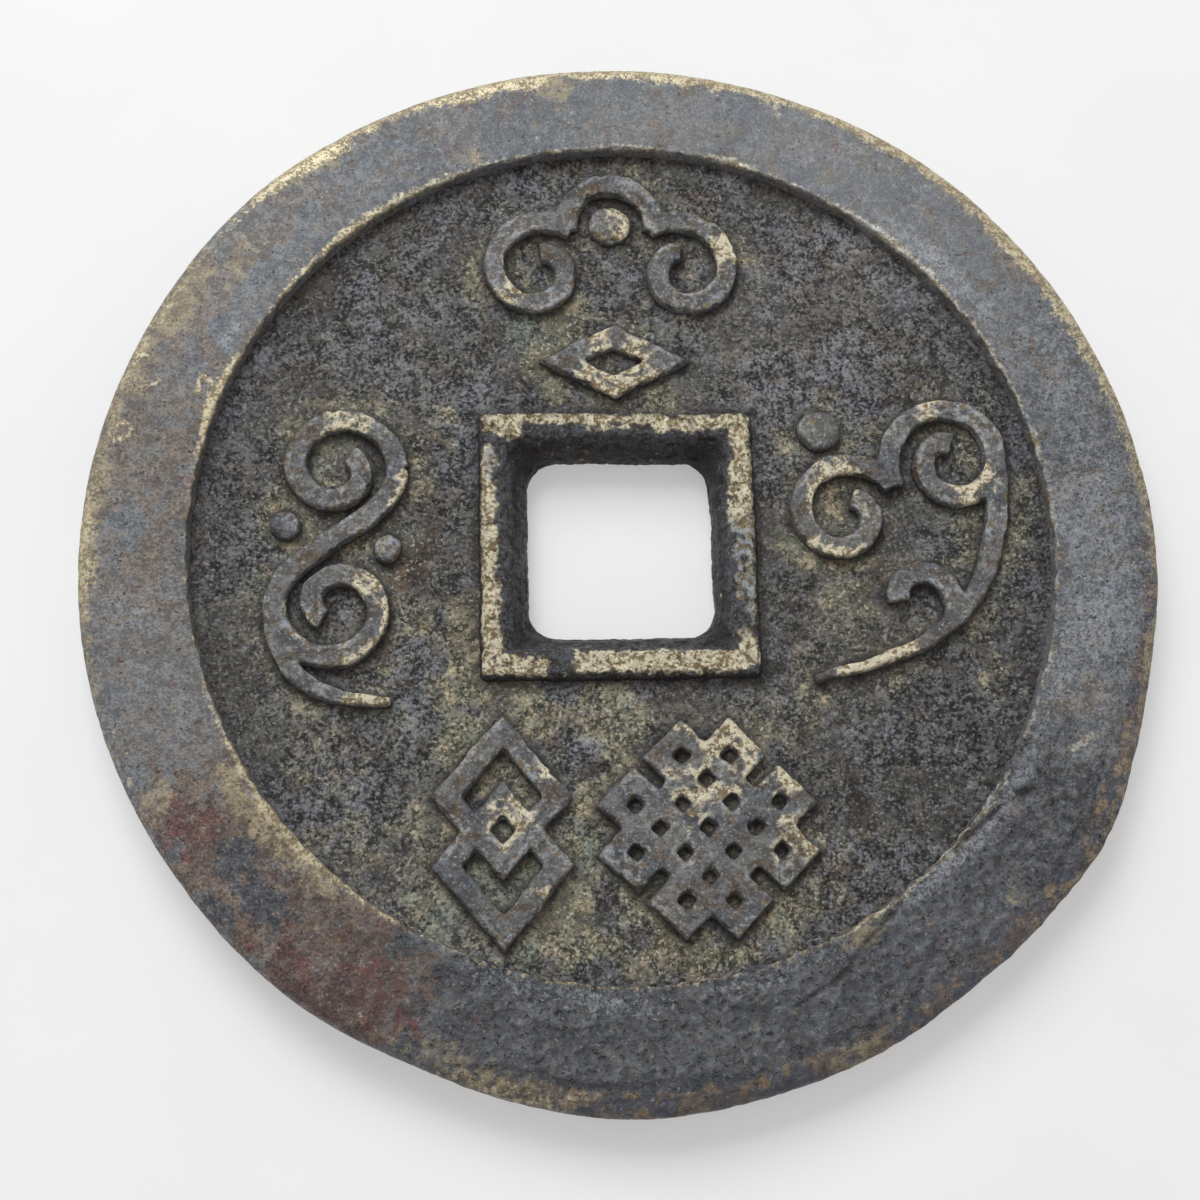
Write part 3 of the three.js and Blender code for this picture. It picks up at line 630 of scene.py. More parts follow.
# Outer rim: a section turned round the coin, drawn out of true, then worn and pitted
rimShape = {
    "radius": 28.1 * mm,
    "lipLean": 0.12 * mm,           # how far the inner wall leans out
    "lipRound": 0.13 * mm,
    "frontShoulder": 0.8 * mm,
    "backShoulder": 0.5 * mm,
    "steps": 130,                   # of the spin, each then cut into this many
    "stepCuts": 7,
    "frontSpacing": 0.135 * mm,
    "wallSpacing": 0.2 * mm,
    "backSpacing": 0.4 * mm,
    "flatBand": 0.1 * mm,           # what lies this near to a face belongs to it
    # size of the lumps in millimetres, height, seed
    "drift": ((3.4, 0.03, 1), (0.9, 0.016, 2)),
    "jags": ((0.75, 1, 9), (0.38, 0.7, 13)),
    "rubReach": ((1.8, 0.5, 12), (0.7, 0.3, 15)),
    # how deep each kind of wear goes, in millimetres
    "depths": {
        "all": 0.02, "skin": 0.17, "rough": 0.04, "nicks": 0.07, "cracks": 0.11, "blisters": -0.03,
        "lip": 0.11, "lipDips": 0.08, "lowShoulder": 0.3,
    },
    "crackWidth": 0.13 * mm,
    "blisterWidth": 0.15 * mm,
    # angle, rise in millimetres, spread
    "swells": (
        (50, 0.14, 16), (134, 0.2, 13), (215, -0.16, 20), (246, -0.24, 9),
        (270, 0.24, 9), (306, -0.18, 7), (328, 0.36, 7), (346, -0.17, 8),
    ),
    # where the edges are rubbed, bare or silvery, and where casting skin shows: angle, amount, spread
    "outerRub": ((75, 1, 34), (40, 1, 16), (105, 0.55, 14), (127, 0.85, 8), (152, 0.45, 18),
                 (180, 0.9, 7), (256, 0.5, 8), (12, 0.45, 18), (205, 0.3, 14)),
    "innerRub": ((128, 0.8, 16), (160, 1, 8), (221, 1, 15), (45, 0.7, 14), (74, 0.8, 3),
                 (10, 0.6, 12), (318, 0.85, 12), (300, 0.6, 6), (270, 0.25, 14), (95, 0.3, 20)),
    "coolRub": ((50, 0.7, 24), (318, 0.8, 16), (0, 0.9, 24), (98, 0.8, 20)),
    "skin": ((276, 1.3, 34), (320, 1, 14)),
    # where the surface is coarser, paler and low at its shoulder
    "rough": ((0, 0.9, 24), (335, 0.9, 20), (180, 0.8, 26), (222, 1, 18), (25, 0.5, 16)),
    "pale": ((58, 1, 24), (28, 0.6, 18), (2, 0.6, 16), (336, 1, 14), (90, 0.3, 18), (314, 1, 14),
             (184, 0.9, 22), (213, 1, 16), (150, 0.25, 12)),
    "lowShoulder": ((300, 1, 30), (345, 0.9, 22), (262, 0.6, 14)),
    # angle, depth from the outer edge, length, half width, strength
    "brown": ((168, 2.6, 7.5, 3.4, 1), (182, 3, 4.5, 2.6, 0.85), (147, 2, 4.6, 2.4, 0.9),
              (129, 2.4, 6, 2, 0.65), (200, 2, 3, 1.6, 0.45), (110, 2.6, 3, 1.4, 0.4),
              (100, 1.6, 4, 1.1, 0.4), (36, 0.9, 2, 1.3, 0.7), (9, 4.4, 0.9, 1, 0.7),
              (206, 4.2, 2.4, 1.6, 0.6), (190, 1.6, 3.6, 1.2, 0.4), (342, 3.4, 2.4, 1.4, 0.4)),
    "ochre": ((149, 1.2, 3.4, 1, 0.85), (141, 2.2, 1.8, 0.9, 0.6), (127, 0.9, 2.2, 0.8, 0.75),
              (109, 4.9, 0.5, 0.5, 0.9), (97, 1.3, 1.2, 1.3, 0.8), (101, 0.5, 5, 0.55, 0.9),
              (80, 0.4, 7, 0.5, 0.9), (60, 0.4, 7, 0.45, 0.9), (42, 0.5, 5, 0.6, 0.9),
              (14, 0.4, 6, 0.35, 0.7), (116, 0.5, 3, 0.4, 0.7), (214, 4.6, 3, 0.7, 0.8),
              (222, 4.9, 4, 0.5, 0.8), (207.5, 1.2, 0.9, 0.9, 0.6), (258, 0.7, 3.2, 0.6, 0.45),
              (262, 0.6, 1.4, 0.5, 0.6), (316, 1.9, 0.6, 0.5, 0.4), (300, 4.9, 2, 0.4, 0.6),
              (172, 0.6, 5, 0.7, 0.75), (160, 0.7, 4, 0.8, 0.8), (188, 0.4, 4, 0.4, 0.6),
              (250, 0.9, 3.2, 0.7, 0.5), (26, 0.3, 5, 0.35, 0.8), (4, 0.3, 5, 0.3, 0.8),
              (348, 0.35, 4, 0.35, 0.8), (330, 0.3, 4, 0.3, 0.6), (292, 0.5, 1.6, 0.5, 0.6)),
    "rust": ((236, 2.6, 3.6, 3.6, 1.1), (228, 2.8, 4, 3.4, 1.1), (217, 3, 3.6, 3.2, 1),
             (211, 2.4, 2.2, 2.9, 0.8)),
    "maroon": ((239, 1.6, 2.4, 1.7, 1), (231, 1, 2.4, 1.1, 0.9), (212, 1.7, 1.9, 1.5, 0.9),
               (229, 3, 1.6, 1, 0.5), (236, 3.4, 1.4, 0.9, 0.5), (345, 0.5, 3, 0.6, 0.6)),
    "island": ((223.5, 2.4, 1.7, 1, 1), (218.5, 2.9, 1.2, 1.1, 1), (221.5, 0.7, 1.3, 0.6, 0.9),
               (227, 3, 0.9, 0.5, 0.7), (240, 4.6, 1.2, 0.8, 0.6), (264, 1.2, 2.4, 0.45, 0.9),
               (270, 1.1, 2.4, 0.5, 1), (277, 1.2, 2.4, 0.5, 0.9)),
    "bluish": ((150, 4.3, 1.2, 0.8, 1), (141, 3.8, 2.3, 0.9, 0.9), (131, 3, 1.6, 0.7, 0.7),
               (122, 2.4, 3.4, 1.5, 0.7), (177, 2.6, 1.4, 1, 0.8), (187, 2.6, 1.2, 1, 0.5)),
    "scuff": ((150.5, 4.4, 0.9, 0.6, 0.9), (174, 2, 1.6, 1, 0.4), (42, 4.7, 5, 0.7, 0.9),
              (20, 3, 4.5, 2.2, 0.6), (6, 3.2, 4, 2.4, 0.8), (352, 3.2, 4.5, 2.4, 0.95),
              (186, 2.6, 1.6, 1.2, 0.7), (60, 2.4, 6, 1.8, 0.35), (336, 3, 1.1, 0.16, 1.6),
              (325, 4.9, 4.6, 0.45, 1.2), (314, 5, 3.6, 0.34, 1.5), (345, 4.6, 3, 0.8, 0.7),
              (262, 4.8, 6, 0.6, 0.7), (285, 4.9, 5, 0.5, 0.6), (352, 2.6, 2.4, 1.2, 1.2),
              (2, 3.8, 2.2, 1, 1.1)),
    "seeds": {"maroon": 57, "brown": 31, "ochre": 35, "rust": 6, "island": 38, "bluish": 44, "scuff": 52},
    # x, y, radius in millimetres
    "blisters": ((-24.97, 9.98, 0.85), (-26.12, 6.66, 0.5), (-21.86, 9.14, 0.42)),
    # strength, then angles and radii in millimetres
    "cracks": (
        (1, ((-31.3, 24.2), (-32.6, 23.6), (-34.9, 23.1), (-37.2, 22.75), (-40.8, 22.5), (-44.4, 22.4))),
        (0.9, ((-54.4, 22.5), (-58, 22.75), (-61.7, 23.1), (-63.5, 23.6), (-66.6, 23.95), (-71.6, 24.3))),
        (0.4, ((13, 22.7), (12, 23.6), (10.5, 24.2))), (0.3, ((76, 23.3), (74.8, 24.3), (73.2, 23.2))),
        (0.35, ((-29, 26.4), (-33, 26.6), (-38, 26.9), (-43, 26.8))),
    ),
    "scratches": (
        (1, ((-22.8, 25.5), (-24, 25.3), (-25.2, 24.8))), (0.6, ((70.6, 27.2), (69.8, 26.2))),
        (0.6, ((-12, 22.9), (-14, 23.1))),
    ),
}


def turnRim():
    look = rimShape
    lip = fieldRadius + look["lipLean"]
    outline = [
        (lip, 0), (look["radius"], 0), (look["radius"], coinHeight), (lip, coinHeight),
        (fieldRadius, fieldTop), (fieldRadius, fieldBase),
    ]
    rounds = [
        (look["lipRound"], 3), (look["backShoulder"], 5), (look["frontShoulder"], 9), (look["lipRound"], 4),
    ]
    bm = bmesh.new()
    corners = [bm.verts.new((x, 0, z)) for x, z in outline]
    bm.faces.new(corners)
    for corner, (width, segments) in zip(corners, rounds):
        roundCorners(bm, [corner], width, segments)
    for edge in list(bm.edges):
        middle = (edge.verts[0].co + edge.verts[1].co) / 2
        front = middle.z > coinHeight - look["flatBand"]
        back = middle.z < look["flatBand"]
        spacing = look["frontSpacing" if front else "backSpacing" if back else "wallSpacing"]
        cutEvenly(bm, [edge], spacing, filled=False)
    bmesh.ops.delete(bm, geom=bm.faces[:], context="FACES_ONLY")
    bmesh.ops.spin(bm, geom=bm.verts[:] + bm.edges[:], cent=(0, 0, 0), axis=(0, 0, 1),
                   angle=2 * math.pi, steps=look["steps"], use_merge=True)
    around = [e for e in bm.edges if abs(e.verts[0].co.z - e.verts[1].co.z) < hair
              and abs(e.verts[0].co.xy.length - e.verts[1].co.xy.length) < hair]
    bmesh.ops.subdivide_edges(bm, edges=around, cuts=look["stepCuts"] - 1, use_grid_fill=True)
    step = 2 * math.pi / look["steps"]
    for v in bm.verts:
        past = math.atan2(v.co.y, v.co.x) % step - step / 2
        v.co.xy *= math.cos(past) / math.cos(step / 2)
    bmesh.ops.recalc_face_normals(bm, faces=bm.faces)
    return bm


def finishRim(mesh):
    look = rimShape
    deep = look["depths"]
    points = readPoints(mesh)
    x, y, z = points.T
    radius = np.hypot(x, y)
    angles = np.arctan2(y, x)

    def humps(name):
        return aroundCoin(angles, look[name])

    band = look["radius"] - fieldRadius
    outward = np.clip((radius - fieldRadius) / band, 0, 1)
    swollen = 1 + outward * humps("swells") * mm / radius
    points[:, 0] = x * swollen + (1 - outward) * fieldCentre.x
    points[:, 1] = y * swollen + (1 - outward) * fieldCentre.y
    writePoints(mesh, points)

    # depth from the outer edge and from the inner lip, both along the top
    fromEdge = (1 - outward) * band
    fromLip = radius - fieldRadius - look["lipLean"]
    front = smoothStep(coinHeight * 0.35, coinHeight * 0.6, z)
    skin = smoothStep(0.22, 0.7, humps("skin") + 0.45 * noiseAt(points, 1.4, 5))
    blister = np.zeros(len(points))
    for spotX, spotY, size in look["blisters"]:
        away = awayFrom(points, spotX, spotY) + 0.3 * mm * noiseAt(points, 0.7, 10)
        blister = np.maximum(blister, bell(away - size * mm, look["blisterWidth"]))
    blister *= smoothStep(-0.45, 0.05, noiseAt(points, 0.8, 19))
    wander = 0.16 * mm * noiseAt(points, 0.6, 11)

    def drawn(lines):
        mask = np.zeros(len(points))
        for strength, places in lines:
            path = [(r * math.cos(math.radians(a)), r * math.sin(math.radians(a))) for a, r in places]
            away = lineDistance(points, path) + wander
            mask = np.maximum(mask, strength * bell(away, look["crackWidth"]))
        return mask * front

    line = drawn(look["cracks"])
    scratch = drawn(look["scratches"])
    rolled = np.stack([angles * fieldRadius, radius, z], axis=1)
    lumps = 0.75 - np.abs(noiseAt(rolled, 0.8, 4, (0.75, 1.25, 1))) * 3.0
    lumps = np.clip(lumps + 0.6 * noiseAt(rolled, 0.42, 6), 0, 1)
    rough = np.clip(humps("rough"), 0, 1) * front
    nicks = np.clip(noiseAt(points, 0.7, 8) - 0.15, 0, 1) * bell(fromEdge, 0.9 * mm)
    steady = 0.3 + 0.7 * smoothStep(0, 1.0 * mm, fromEdge)
    ragged = bell(fromLip, 0.35 * mm) * (z > fieldTop)
    pulled = 1 - deep["lip"] * mm * ragged * layered(points, look["jags"]) / radius
    depth = layered(points, look["drift"]) - deep["all"] - deep["nicks"] * nicks
    depth -= (deep["skin"] * skin + deep["rough"] * rough) * steady * (1 - lumps)
    depth -= deep["cracks"] * line + deep["blisters"] * blister * front
    points += readNormals(mesh) * (depth * mm)[:, None]
    points[:, :2] *= pulled[:, None]
    lowered = np.clip(humps("lowShoulder"), 0, 1.1) * front
    points[:, 2] -= deep["lowShoulder"] * mm * lowered * smoothStep(2.1 * mm, 0, fromEdge)
    points[:, 2] -= deep["lipDips"] * mm * ragged * np.clip(noiseAt(points, 0.6, 14) + 0.2, 0, 1)
    points[:, 2] = np.clip(points[:, 2], 0, coinHeight)
    writePoints(mesh, points)

    outer = np.clip(humps("outerRub"), 0, 1)
    inner = np.clip(humps("innerRub"), 0, 1)
    reach = (0.35 + layered(points, look["rubReach"])) * mm
    inward = bell(np.maximum(fromLip - 0.1 * mm, 0), (0.18 + 0.4 * inner ** 3) * mm)
    inward *= 0.95 + 0.5 * noiseAt(points, 1.1, 17)
    wear = np.max([
        outer * smoothStep(1.1 * mm, 0.2 * mm, fromEdge - reach * outer),
        (0.34 + 0.78 * inner) * inward, 0.9 * blister * front, scratch,
    ], axis=0)
    wall = (z < coinHeight - 0.22 * mm) & (radius < fieldRadius + 0.25 * mm)
    lit = smoothStep(coinHeight - 1.3 * mm, coinHeight - 0.5 * mm, z)
    bandEdge = (1.15 + 0.35 * noiseAt(points, 1.5, 16)) * mm
    shoulder = np.clip(humps("lowShoulder"), 0, 1) * smoothStep(0.25 * mm, -0.25 * mm, fromEdge - bandEdge)
    patches = {
        name: rimPatches(points, fromEdge, look[name], seed) * front
        for name, seed in look["seeds"].items()
    }
    patches["brown"] = np.where(wall, 0.35 + 0.9 * noiseAt(points, 1.5, 18), patches["brown"])
    paint(
        mesh, skin=skin, line=line, **patches,
        wear=np.where(wall, 0, wear) * (0.6 + 0.4 * lit),
        cool=scratch + humps("coolRub") * bell(fromLip, 1.2 * mm),
        # painted shade in the hollows between the lumps of the skin
        hollow=skin * smoothStep(0.5, 0, lumps),
        shoulder=np.maximum(shoulder, 0.5 * (1 - front)),
        rough=np.where(wall, 0.8, rough),
        # on the inner wall this is painted light that lifts the wall's shade
        pale=np.where(wall, 1, humps("pale") * front),
    )


rim = placePiece("coin_rim", turnRim(), rimPatina, "rim_patina", "outer_rim")
finishRim(rim.data)
print("outer rim: %d points" % len(rim.data.vertices))


# Field: two sand-cast sheets, front and back, that rise a little against what stands on them
fieldShape = {
    "tuck": 0.32 * mm,             # how far a sheet runs in under the rim
    "borderTuck": 0.52 * mm,       # and under the foot of the border
    "frontSpacing": 0.127 * mm,
    "backSpacing": 0.2 * mm,
    "fillet": 0.1,                 # height in millimetres
    # size of the lumps in millimetres, height, seed
    "sand": ((6, 0.05, 1), (1.9, 0.03, 2), (0.55, 0.08, 3), (0.32, 0.06, 4)),
    # raggedness, grain in millimetres and seed of each kind's edges
    "edges": {
        "deposit": (0.9, 2.4, 3), "verdigris": (0.9, 1.4, 9), "rust": (0.9, 1.6, 15),
        "ashen": (0.7, 3, 61), "sooty": (0.7, 3, 67),
    },
    # x, y, size, strength
    "deposit": ((-3, -14.5, 4.6, 0.75), (3.5, -15.5, 4.8, 0.8), (-4.5, -18.5, 3.2, 0.8),
                (2, -20.3, 3, 0.9), (-8.3, -7.2, 2.4, 0.85), (-6.5, -10.2, 2, 0.8),
                (-4.3, 10.8, 1.5, 0.85), (-5.8, 17.6, 1.8, 0.7), (4.5, 18.2, 1.8, 0.6),
                (2.2, 8.3, 1.1, 0.9), (-14.5, 2, 3.6, 0.45), (-12, -4.5, 2.6, 0.5),
                (12, 4.5, 2.4, 0.6), (11.2, -2.5, 2.2, 0.55), (19, -6.4, 1.8, 0.55),
                (-10, -16.8, 3.6, 0.5), (-15.4, -11.4, 3.4, 0.4), (-9.8, 7.4, 1.4, 0.5),
                (9, -16, 2.6, 0.4), (8, -9.2, 1.6, 0.45), (-13.5, -15, 3.4, 0.5),
                (-8.2, -3.2, 1.3, 1), (-8.3, -6, 1.7, 1.2), (-8.2, -9.2, 1.9, 1.3),
                (-7, -11.8, 2, 1.1), (-1, -8.6, 2.6, 0.8), (-6.6, -14.6, 2.2, 1),
                (-3.6, 9.4, 0.8, 1.2), (-2.8, 12.4, 1.2, 1), (-4.6, 14.6, 1.5, 0.8),
                (-5, -8.7, 2, 1.1), (3.2, -13.6, 2.4, 0.9), (6, -18, 3, 0.8),
                (9.8, 0.8, 1.2, 0.9), (9.6, 3.6, 1.1, 0.9)),
    "ashen": ((9.6, 13.2, 5, 1.3), (5, 14, 2.6, 0.6), (-11, 11.5, 4.4, 0.5), (12.5, -9.5, 2.4, 0.5),
              (-3, -9, 4, 0.8), (-8, -15, 4, 0.4), (-7.9, -17.2, 2.8, 1.4),
              (13, 15, 4.4, 1.2)),
    # blots where the field is darker, most of them against the rim
    "sooty": ((20.6, 1.5, 4.6, 0.9), (19.4, 8.4, 4.2, 0.8), (18.6, -8, 5.6, 0.8), (14.5, -14, 5.2, 0.7),
              (-15.6, 14, 3, 0.6), (-20, 2, 3, 0.4)),
    "verdigris": ((-6.6, -15.8, 2.6, 0.75), (-13.2, -7.8, 1.1, 0.95), (-2.5, -15.5, 1.8, 0.6),
                  (-5, 12.6, 1.3, 0.6), (-9.6, -18.3, 1.6, 0.6), (1, -13, 1.4, 0.5),
                  (3.6, 18.9, 0.9, 0.5), (-6, -20, 1.5, 0.5)),
    "rust": ((-11.3, -0.6, 1.5, 0.9), (-10.6, 2.6, 1.2, 0.6), (-16.8, 3.4, 1.1, 0.5),
             (9.8, -17.2, 1.2, 0.5), (4.5, 20.3, 1, 0.5), (-13.5, -5.2, 1.4, 0.5)),
}


def cutSheet(surface, spacing):
    outerReach = fieldRadius + fieldShape["tuck"]
    innerReach = holeFoot - fieldShape["borderTuck"]
    count = 2 * round(outerReach / spacing)
    bm = bmesh.new()
    bmesh.ops.create_grid(bm, x_segments=count, y_segments=count, size=outerReach,
                          matrix=Matrix.Translation((fieldCentre.x, fieldCentre.y, surface)))

    def outside(co):
        away = math.hypot(co.x - fieldCentre.x, co.y - fieldCentre.y)
        square = max(abs(co.x - holeCentre.x), abs(co.y - holeCentre.y))
        return away > outerReach or square < innerReach

    bmesh.ops.delete(bm, geom=[v for v in bm.verts if outside(v.co)], context="VERTS")
    stray = [v for v in bm.verts if len(v.link_faces) == 0]
    bmesh.ops.delete(bm, geom=stray, context="VERTS")
    rims = [e for e in bm.edges if e.is_boundary]
    walls = bmesh.ops.extrude_edge_only(bm, edges=rims)["geom"]
    for v in walls:
        if isinstance(v, bmesh.types.BMVert):
            v.co.z = (fieldTop + fieldBase) / 2
    floorEdges = [e for e in walls if isinstance(e, bmesh.types.BMEdge) and e.is_boundary]
    bmesh.ops.bridge_loops(bm, edges=floorEdges)
    bmesh.ops.recalc_face_normals(bm, faces=bm.faces)
    return bm


def finishSheet(mesh, surface, nodes, located):
    points = readPoints(mesh)
    side = 1 if surface > coinHeight / 2 else -1
    skin = np.abs(points[:, 2] - surface) < hair
    bm = bmesh.new()
    for node in nodes:
        bm.from_mesh(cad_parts[node].data)
    relief = BVHTree.FromBMesh(bm)
    bm.free()
    farthest = 3 * mm
    found = [relief.find_nearest(p, farthest)[3] for p in map(Vector, points.tolist())]
    toRelief = np.array([farthest if gap is None else gap for gap in found])
    x, y, _ = points.T
    toRim = np.maximum(fieldRadius - np.hypot(x - fieldCentre.x, y - fieldCentre.y), 0)
    toHole = np.maximum(squareReach(x, y) - holeFoot, 0)
    nearest = np.minimum(toRelief, np.minimum(toRim, toHole))

    rise = layered(points, fieldShape["sand"]) + fieldShape["fillet"] * bell(nearest, 0.17 * mm)
    points[:, 2] += np.where(skin, side * rise * mm, 0)
    writePoints(mesh, points)

    # grime and painted shade: the field is darkened round the relief, the border and the rim, and a wide
    # painted shadow of the rim's wall falls across its upper part
    high = smoothStep(-0.9, -0.3, y / fieldRadius)
    crease = bell(toRelief, 0.24 * mm) * 0.95 + bell(toHole, 0.32 * mm) * 0.8
    crease += bell(toRim, 0.25 * mm) * (0.15 + 0.1 * high) + bell(toRim, 1.35 * mm) * 0.21 * high
    crease *= 0.75 + 0.6 * noiseAt(points, 1.3, 7)
    crevice = smoothStep(2.2 * mm, 0.3 * mm, toRelief) * (0.5 + 0.9 * noiseAt(points, 2.4, 8))
    masks = {name: blots(points, located[name], *edge) for name, edge in fieldShape["edges"].items()}
    masks["deposit"] = np.maximum(masks["deposit"], 0.75 * np.clip(crevice, 0, 1))
    paint(mesh, crease=crease, **masks)


def addField(name, surface, spacing, nodes, located):
    field = placePiece(name, cutSheet(surface, spacing), fieldPatina, "field_patina", "field_plate")
    finishSheet(field.data, surface, nodes, located)
    print("%s: %d points" % (name, len(field.data.vertices)))


frontRelief = [
    "top_cloud", "top_pearl", "top_lozenge", "left_cloud", "left_upper_bud", "left_lower_bud",
    "right_cloud", "right_pearl", "lower_left_lozenges", "lower_right_knot",
]
backRelief = [
    "back_top_cloud", "back_top_pearl", "back_bottom_cloud", "back_bottom_pearl",
    "back_left_lozenges", "back_right_lozenges",
]
backLook = {
    "deposit": ((4, 14, 4, 0.7), (-3, -15, 5, 0.75), (14, -3, 4, 0.6)),
    "verdigris": ((6, -14, 2, 0.6), (-13, 6, 1.6, 0.7)),
    "rust": ((12, 8, 1.6, 0.7), (-12, -9, 1.8, 0.6)),
    "ashen": ((-8, 14, 5, 0.7), (10, -12, 4, 0.6)),
    "sooty": ((15, 12, 6, 0.7), (-16, -8, 5, 0.6)),
}
addField("front_field", fieldTop, fieldShape["frontSpacing"], frontRelief, fieldShape)
addField("back_field", fieldBase, fieldShape["backSpacing"], backRelief, backLook)


# Border of the hole and its lining, bridged from rounded square loops
borderShape = {
    "half": 7.12 * mm, "draft": 0.2 * mm, "edgeRound": 0.22 * mm, "corner": 0.45 * mm,
    "mouthHalf": 5.75 * mm, "mouthCorner": 0.35 * mm,
    "lipHalf": 4.8 * mm, "lipCorner": 1.5 * mm, "lipHeight": 0.95 * mm,
    "lipShift": (0.2 * mm, 0.12 * mm),
    "backHalf": 5.25 * mm, "backCorner": 0.75 * mm,
    "crown": 0.05 * mm,            # how far the top falls towards the mouth
    "sideCuts": 128, "cornerSegments": 10, "spacing": 0.1 * mm, "softening": 3,
    # size of the lumps in millimetres, height, seed
    "lumps": ((2.6, 0.05, 1), (0.3, 0.04, 3)),
    "pitDepth": 0.14, "sink": 0.03, "sway": 0.014,
    # from x, y to x, y, half width, strength
    "rubbed": ((-7.2, 7.2, -6.2, 6.9, 0.62, 0.95), (-6.4, 7.3, 2.2, 7.25, 0.3, 0.85),
               (-1.8, 6.8, 0.2, 6.85, 0.2, 0.5), (1.8, 7.1, 6.3, 7.1, 0.44, 0.9),
               (6.05, 7, 6.05, 1.4, 0.6, 1.1), (6.3, 1.2, 6.3, -3.8, 0.3, 0.75),
               (5.8, 0.8, 5.8, -2.4, 0.26, 0.6), (6, -4.3, 6.1, -6, 0.46, 0.9),
               (5.9, -5.8, -2.5, -5.85, 0.66, 1.15), (-4.6, -6.1, -7.2, -5.9, 0.54, 1.05),
               (-7.2, -5.4, -7.25, 0.7, 0.5, 1.15), (-7.22, 1.4, -7.25, 3.9, 0.42, 1.05),
               (-7.1, 4.8, -7.15, 5.5, 0.36, 1)),
    # where the rubbed brass shows silvery: bare metal, partly a painted reflection
    "silvery": ((5.9, 1.2, 5.95, -3.6, 0.7, 1), (-6.9, 5.6, -6.9, 4.2, 0.4, 0.8)),
}


def squareLoop(bm, half, corner, z, shifted):
    shift = [s * shifted for s in borderShape["lipShift"]]
    place = Matrix.Translation((holeCentre.x + shift[0], holeCentre.y + shift[1], z))
    turn = Matrix.Rotation(math.radians(45), 4, "Z")
    verts = bmesh.ops.create_circle(bm, segments=4, radius=half * math.sqrt(2), matrix=place @ turn)
    rounded = roundCorners(bm, verts["verts"], corner, borderShape["cornerSegments"])
    loop = {e for v in rounded for e in v.link_edges}
    longEdges = [e for e in loop if e.calc_length() > half]
    cut = bmesh.ops.subdivide_edges(bm, edges=longEdges, cuts=borderShape["sideCuts"])
    loop |= {e for e in cut["geom"] if isinstance(e, bmesh.types.BMEdge)}
    return [e for e in loop if e.is_valid]


def bridgeBorder():
    look = borderShape
    half = look["half"]
    corner = look["corner"]
    edge = look["edgeRound"]
    frontTop = holeHigh.z
    backTop = holeLow.z
    foot = half + look["draft"]
    # half side, corner radius, height, share of the lip's shift
    rows = [
        (half - edge, corner, backTop, 0), (half, corner, backTop + edge, 0), (foot, corner, fieldBase, 0),
        (half, corner, fieldBase + 0.05 * mm, 0), (half, corner, fieldTop - 0.05 * mm, 0),
        (foot, corner, fieldTop, 0), (half, corner, frontTop - edge, 0), (half - edge, corner, frontTop, 0),
        (look["mouthHalf"] + edge, look["mouthCorner"], frontTop - look["crown"], 0),
    ]
    for share in (1.0, 0.36, 0.08, 0.0):
        rows.append((
            look["lipHalf"] + share * (look["mouthHalf"] - look["lipHalf"]),
            look["lipCorner"] + share * (look["mouthCorner"] - look["lipCorner"]),
            look["lipHeight"] + math.sqrt(share) * (frontTop - edge - look["lipHeight"]),
            1 - share,
        ))
    rows.append((look["backHalf"], look["backCorner"], backTop + edge, 0))
    rows.append((look["backHalf"] + edge, look["backCorner"], backTop + look["crown"], 0))
    bm = bmesh.new()
    loops = [squareLoop(bm, *row) for row in rows]
    for near, far in zip(loops, loops[1:] + loops[:1]):
        cross = bmesh.ops.bridge_loops(bm, edges=near + far)["edges"]
        cutEvenly(bm, cross, look["spacing"])
    bmesh.ops.recalc_face_normals(bm, faces=bm.faces)
    soften(bm, look["softening"])
    return bm


def finishBorder(mesh):
    look = borderShape
    points = readPoints(mesh)
    x, y, z = points.T
    square = squareReach(x, y)
    crest = smoothStep(holeHigh.z - 0.5 * mm, holeHigh.z - 0.15 * mm, z)
    pitting = np.clip(noiseAt(points, 0.45, 2) - 0.1, 0, 1)
    depth = layered(points, look["lumps"]) - look["pitDepth"] * pitting - look["sink"]
    points += readNormals(mesh) * (depth * mm)[:, None]
    sway = noiseAt(points, 2.2, 4) * (square < look["mouthHalf"] + 0.5 * mm)
    middle = np.array([holeCentre.x, holeCentre.y])
    points[:, :2] += (points[:, :2] - middle) * (look["sway"] * sway)[:, None]
    points[:, 2] = np.clip(points[:, 2], holeLow.z, holeHigh.z)
    writePoints(mesh, points)

    patchy = np.clip(0.4 + 0.9 * noiseAt(points, 3.2, 6), 0, 1) * (z < holeLow.z + 0.2 * mm)
    onFoot = bell(z - fieldTop, 0.35 * mm) * (square > look["half"] - 0.3 * mm)
    paint(
        mesh,
        wear=np.where(z > coinHeight / 2, crest * strokes(points, look["rubbed"]), patchy),
        # silvery bare metal, partly a painted reflection
        cool=strokes(points, look["silvery"], 0.5, 1.2, 47),
        crest=smoothStep(fieldTop - 0.4 * mm, holeHigh.z, z),
        # the foot on the field and the hollows: grime and painted shade
        crease=np.maximum(onFoot, np.clip(-standOut(mesh, 30) / (0.05 * mm), 0, 0.6)),
    )


border = placePiece("hole_border", bridgeBorder(), borderBrass, "border_brass", "hole_rim")
finishBorder(border.data)
print("hole border: %d points" % len(border.data.vertices))


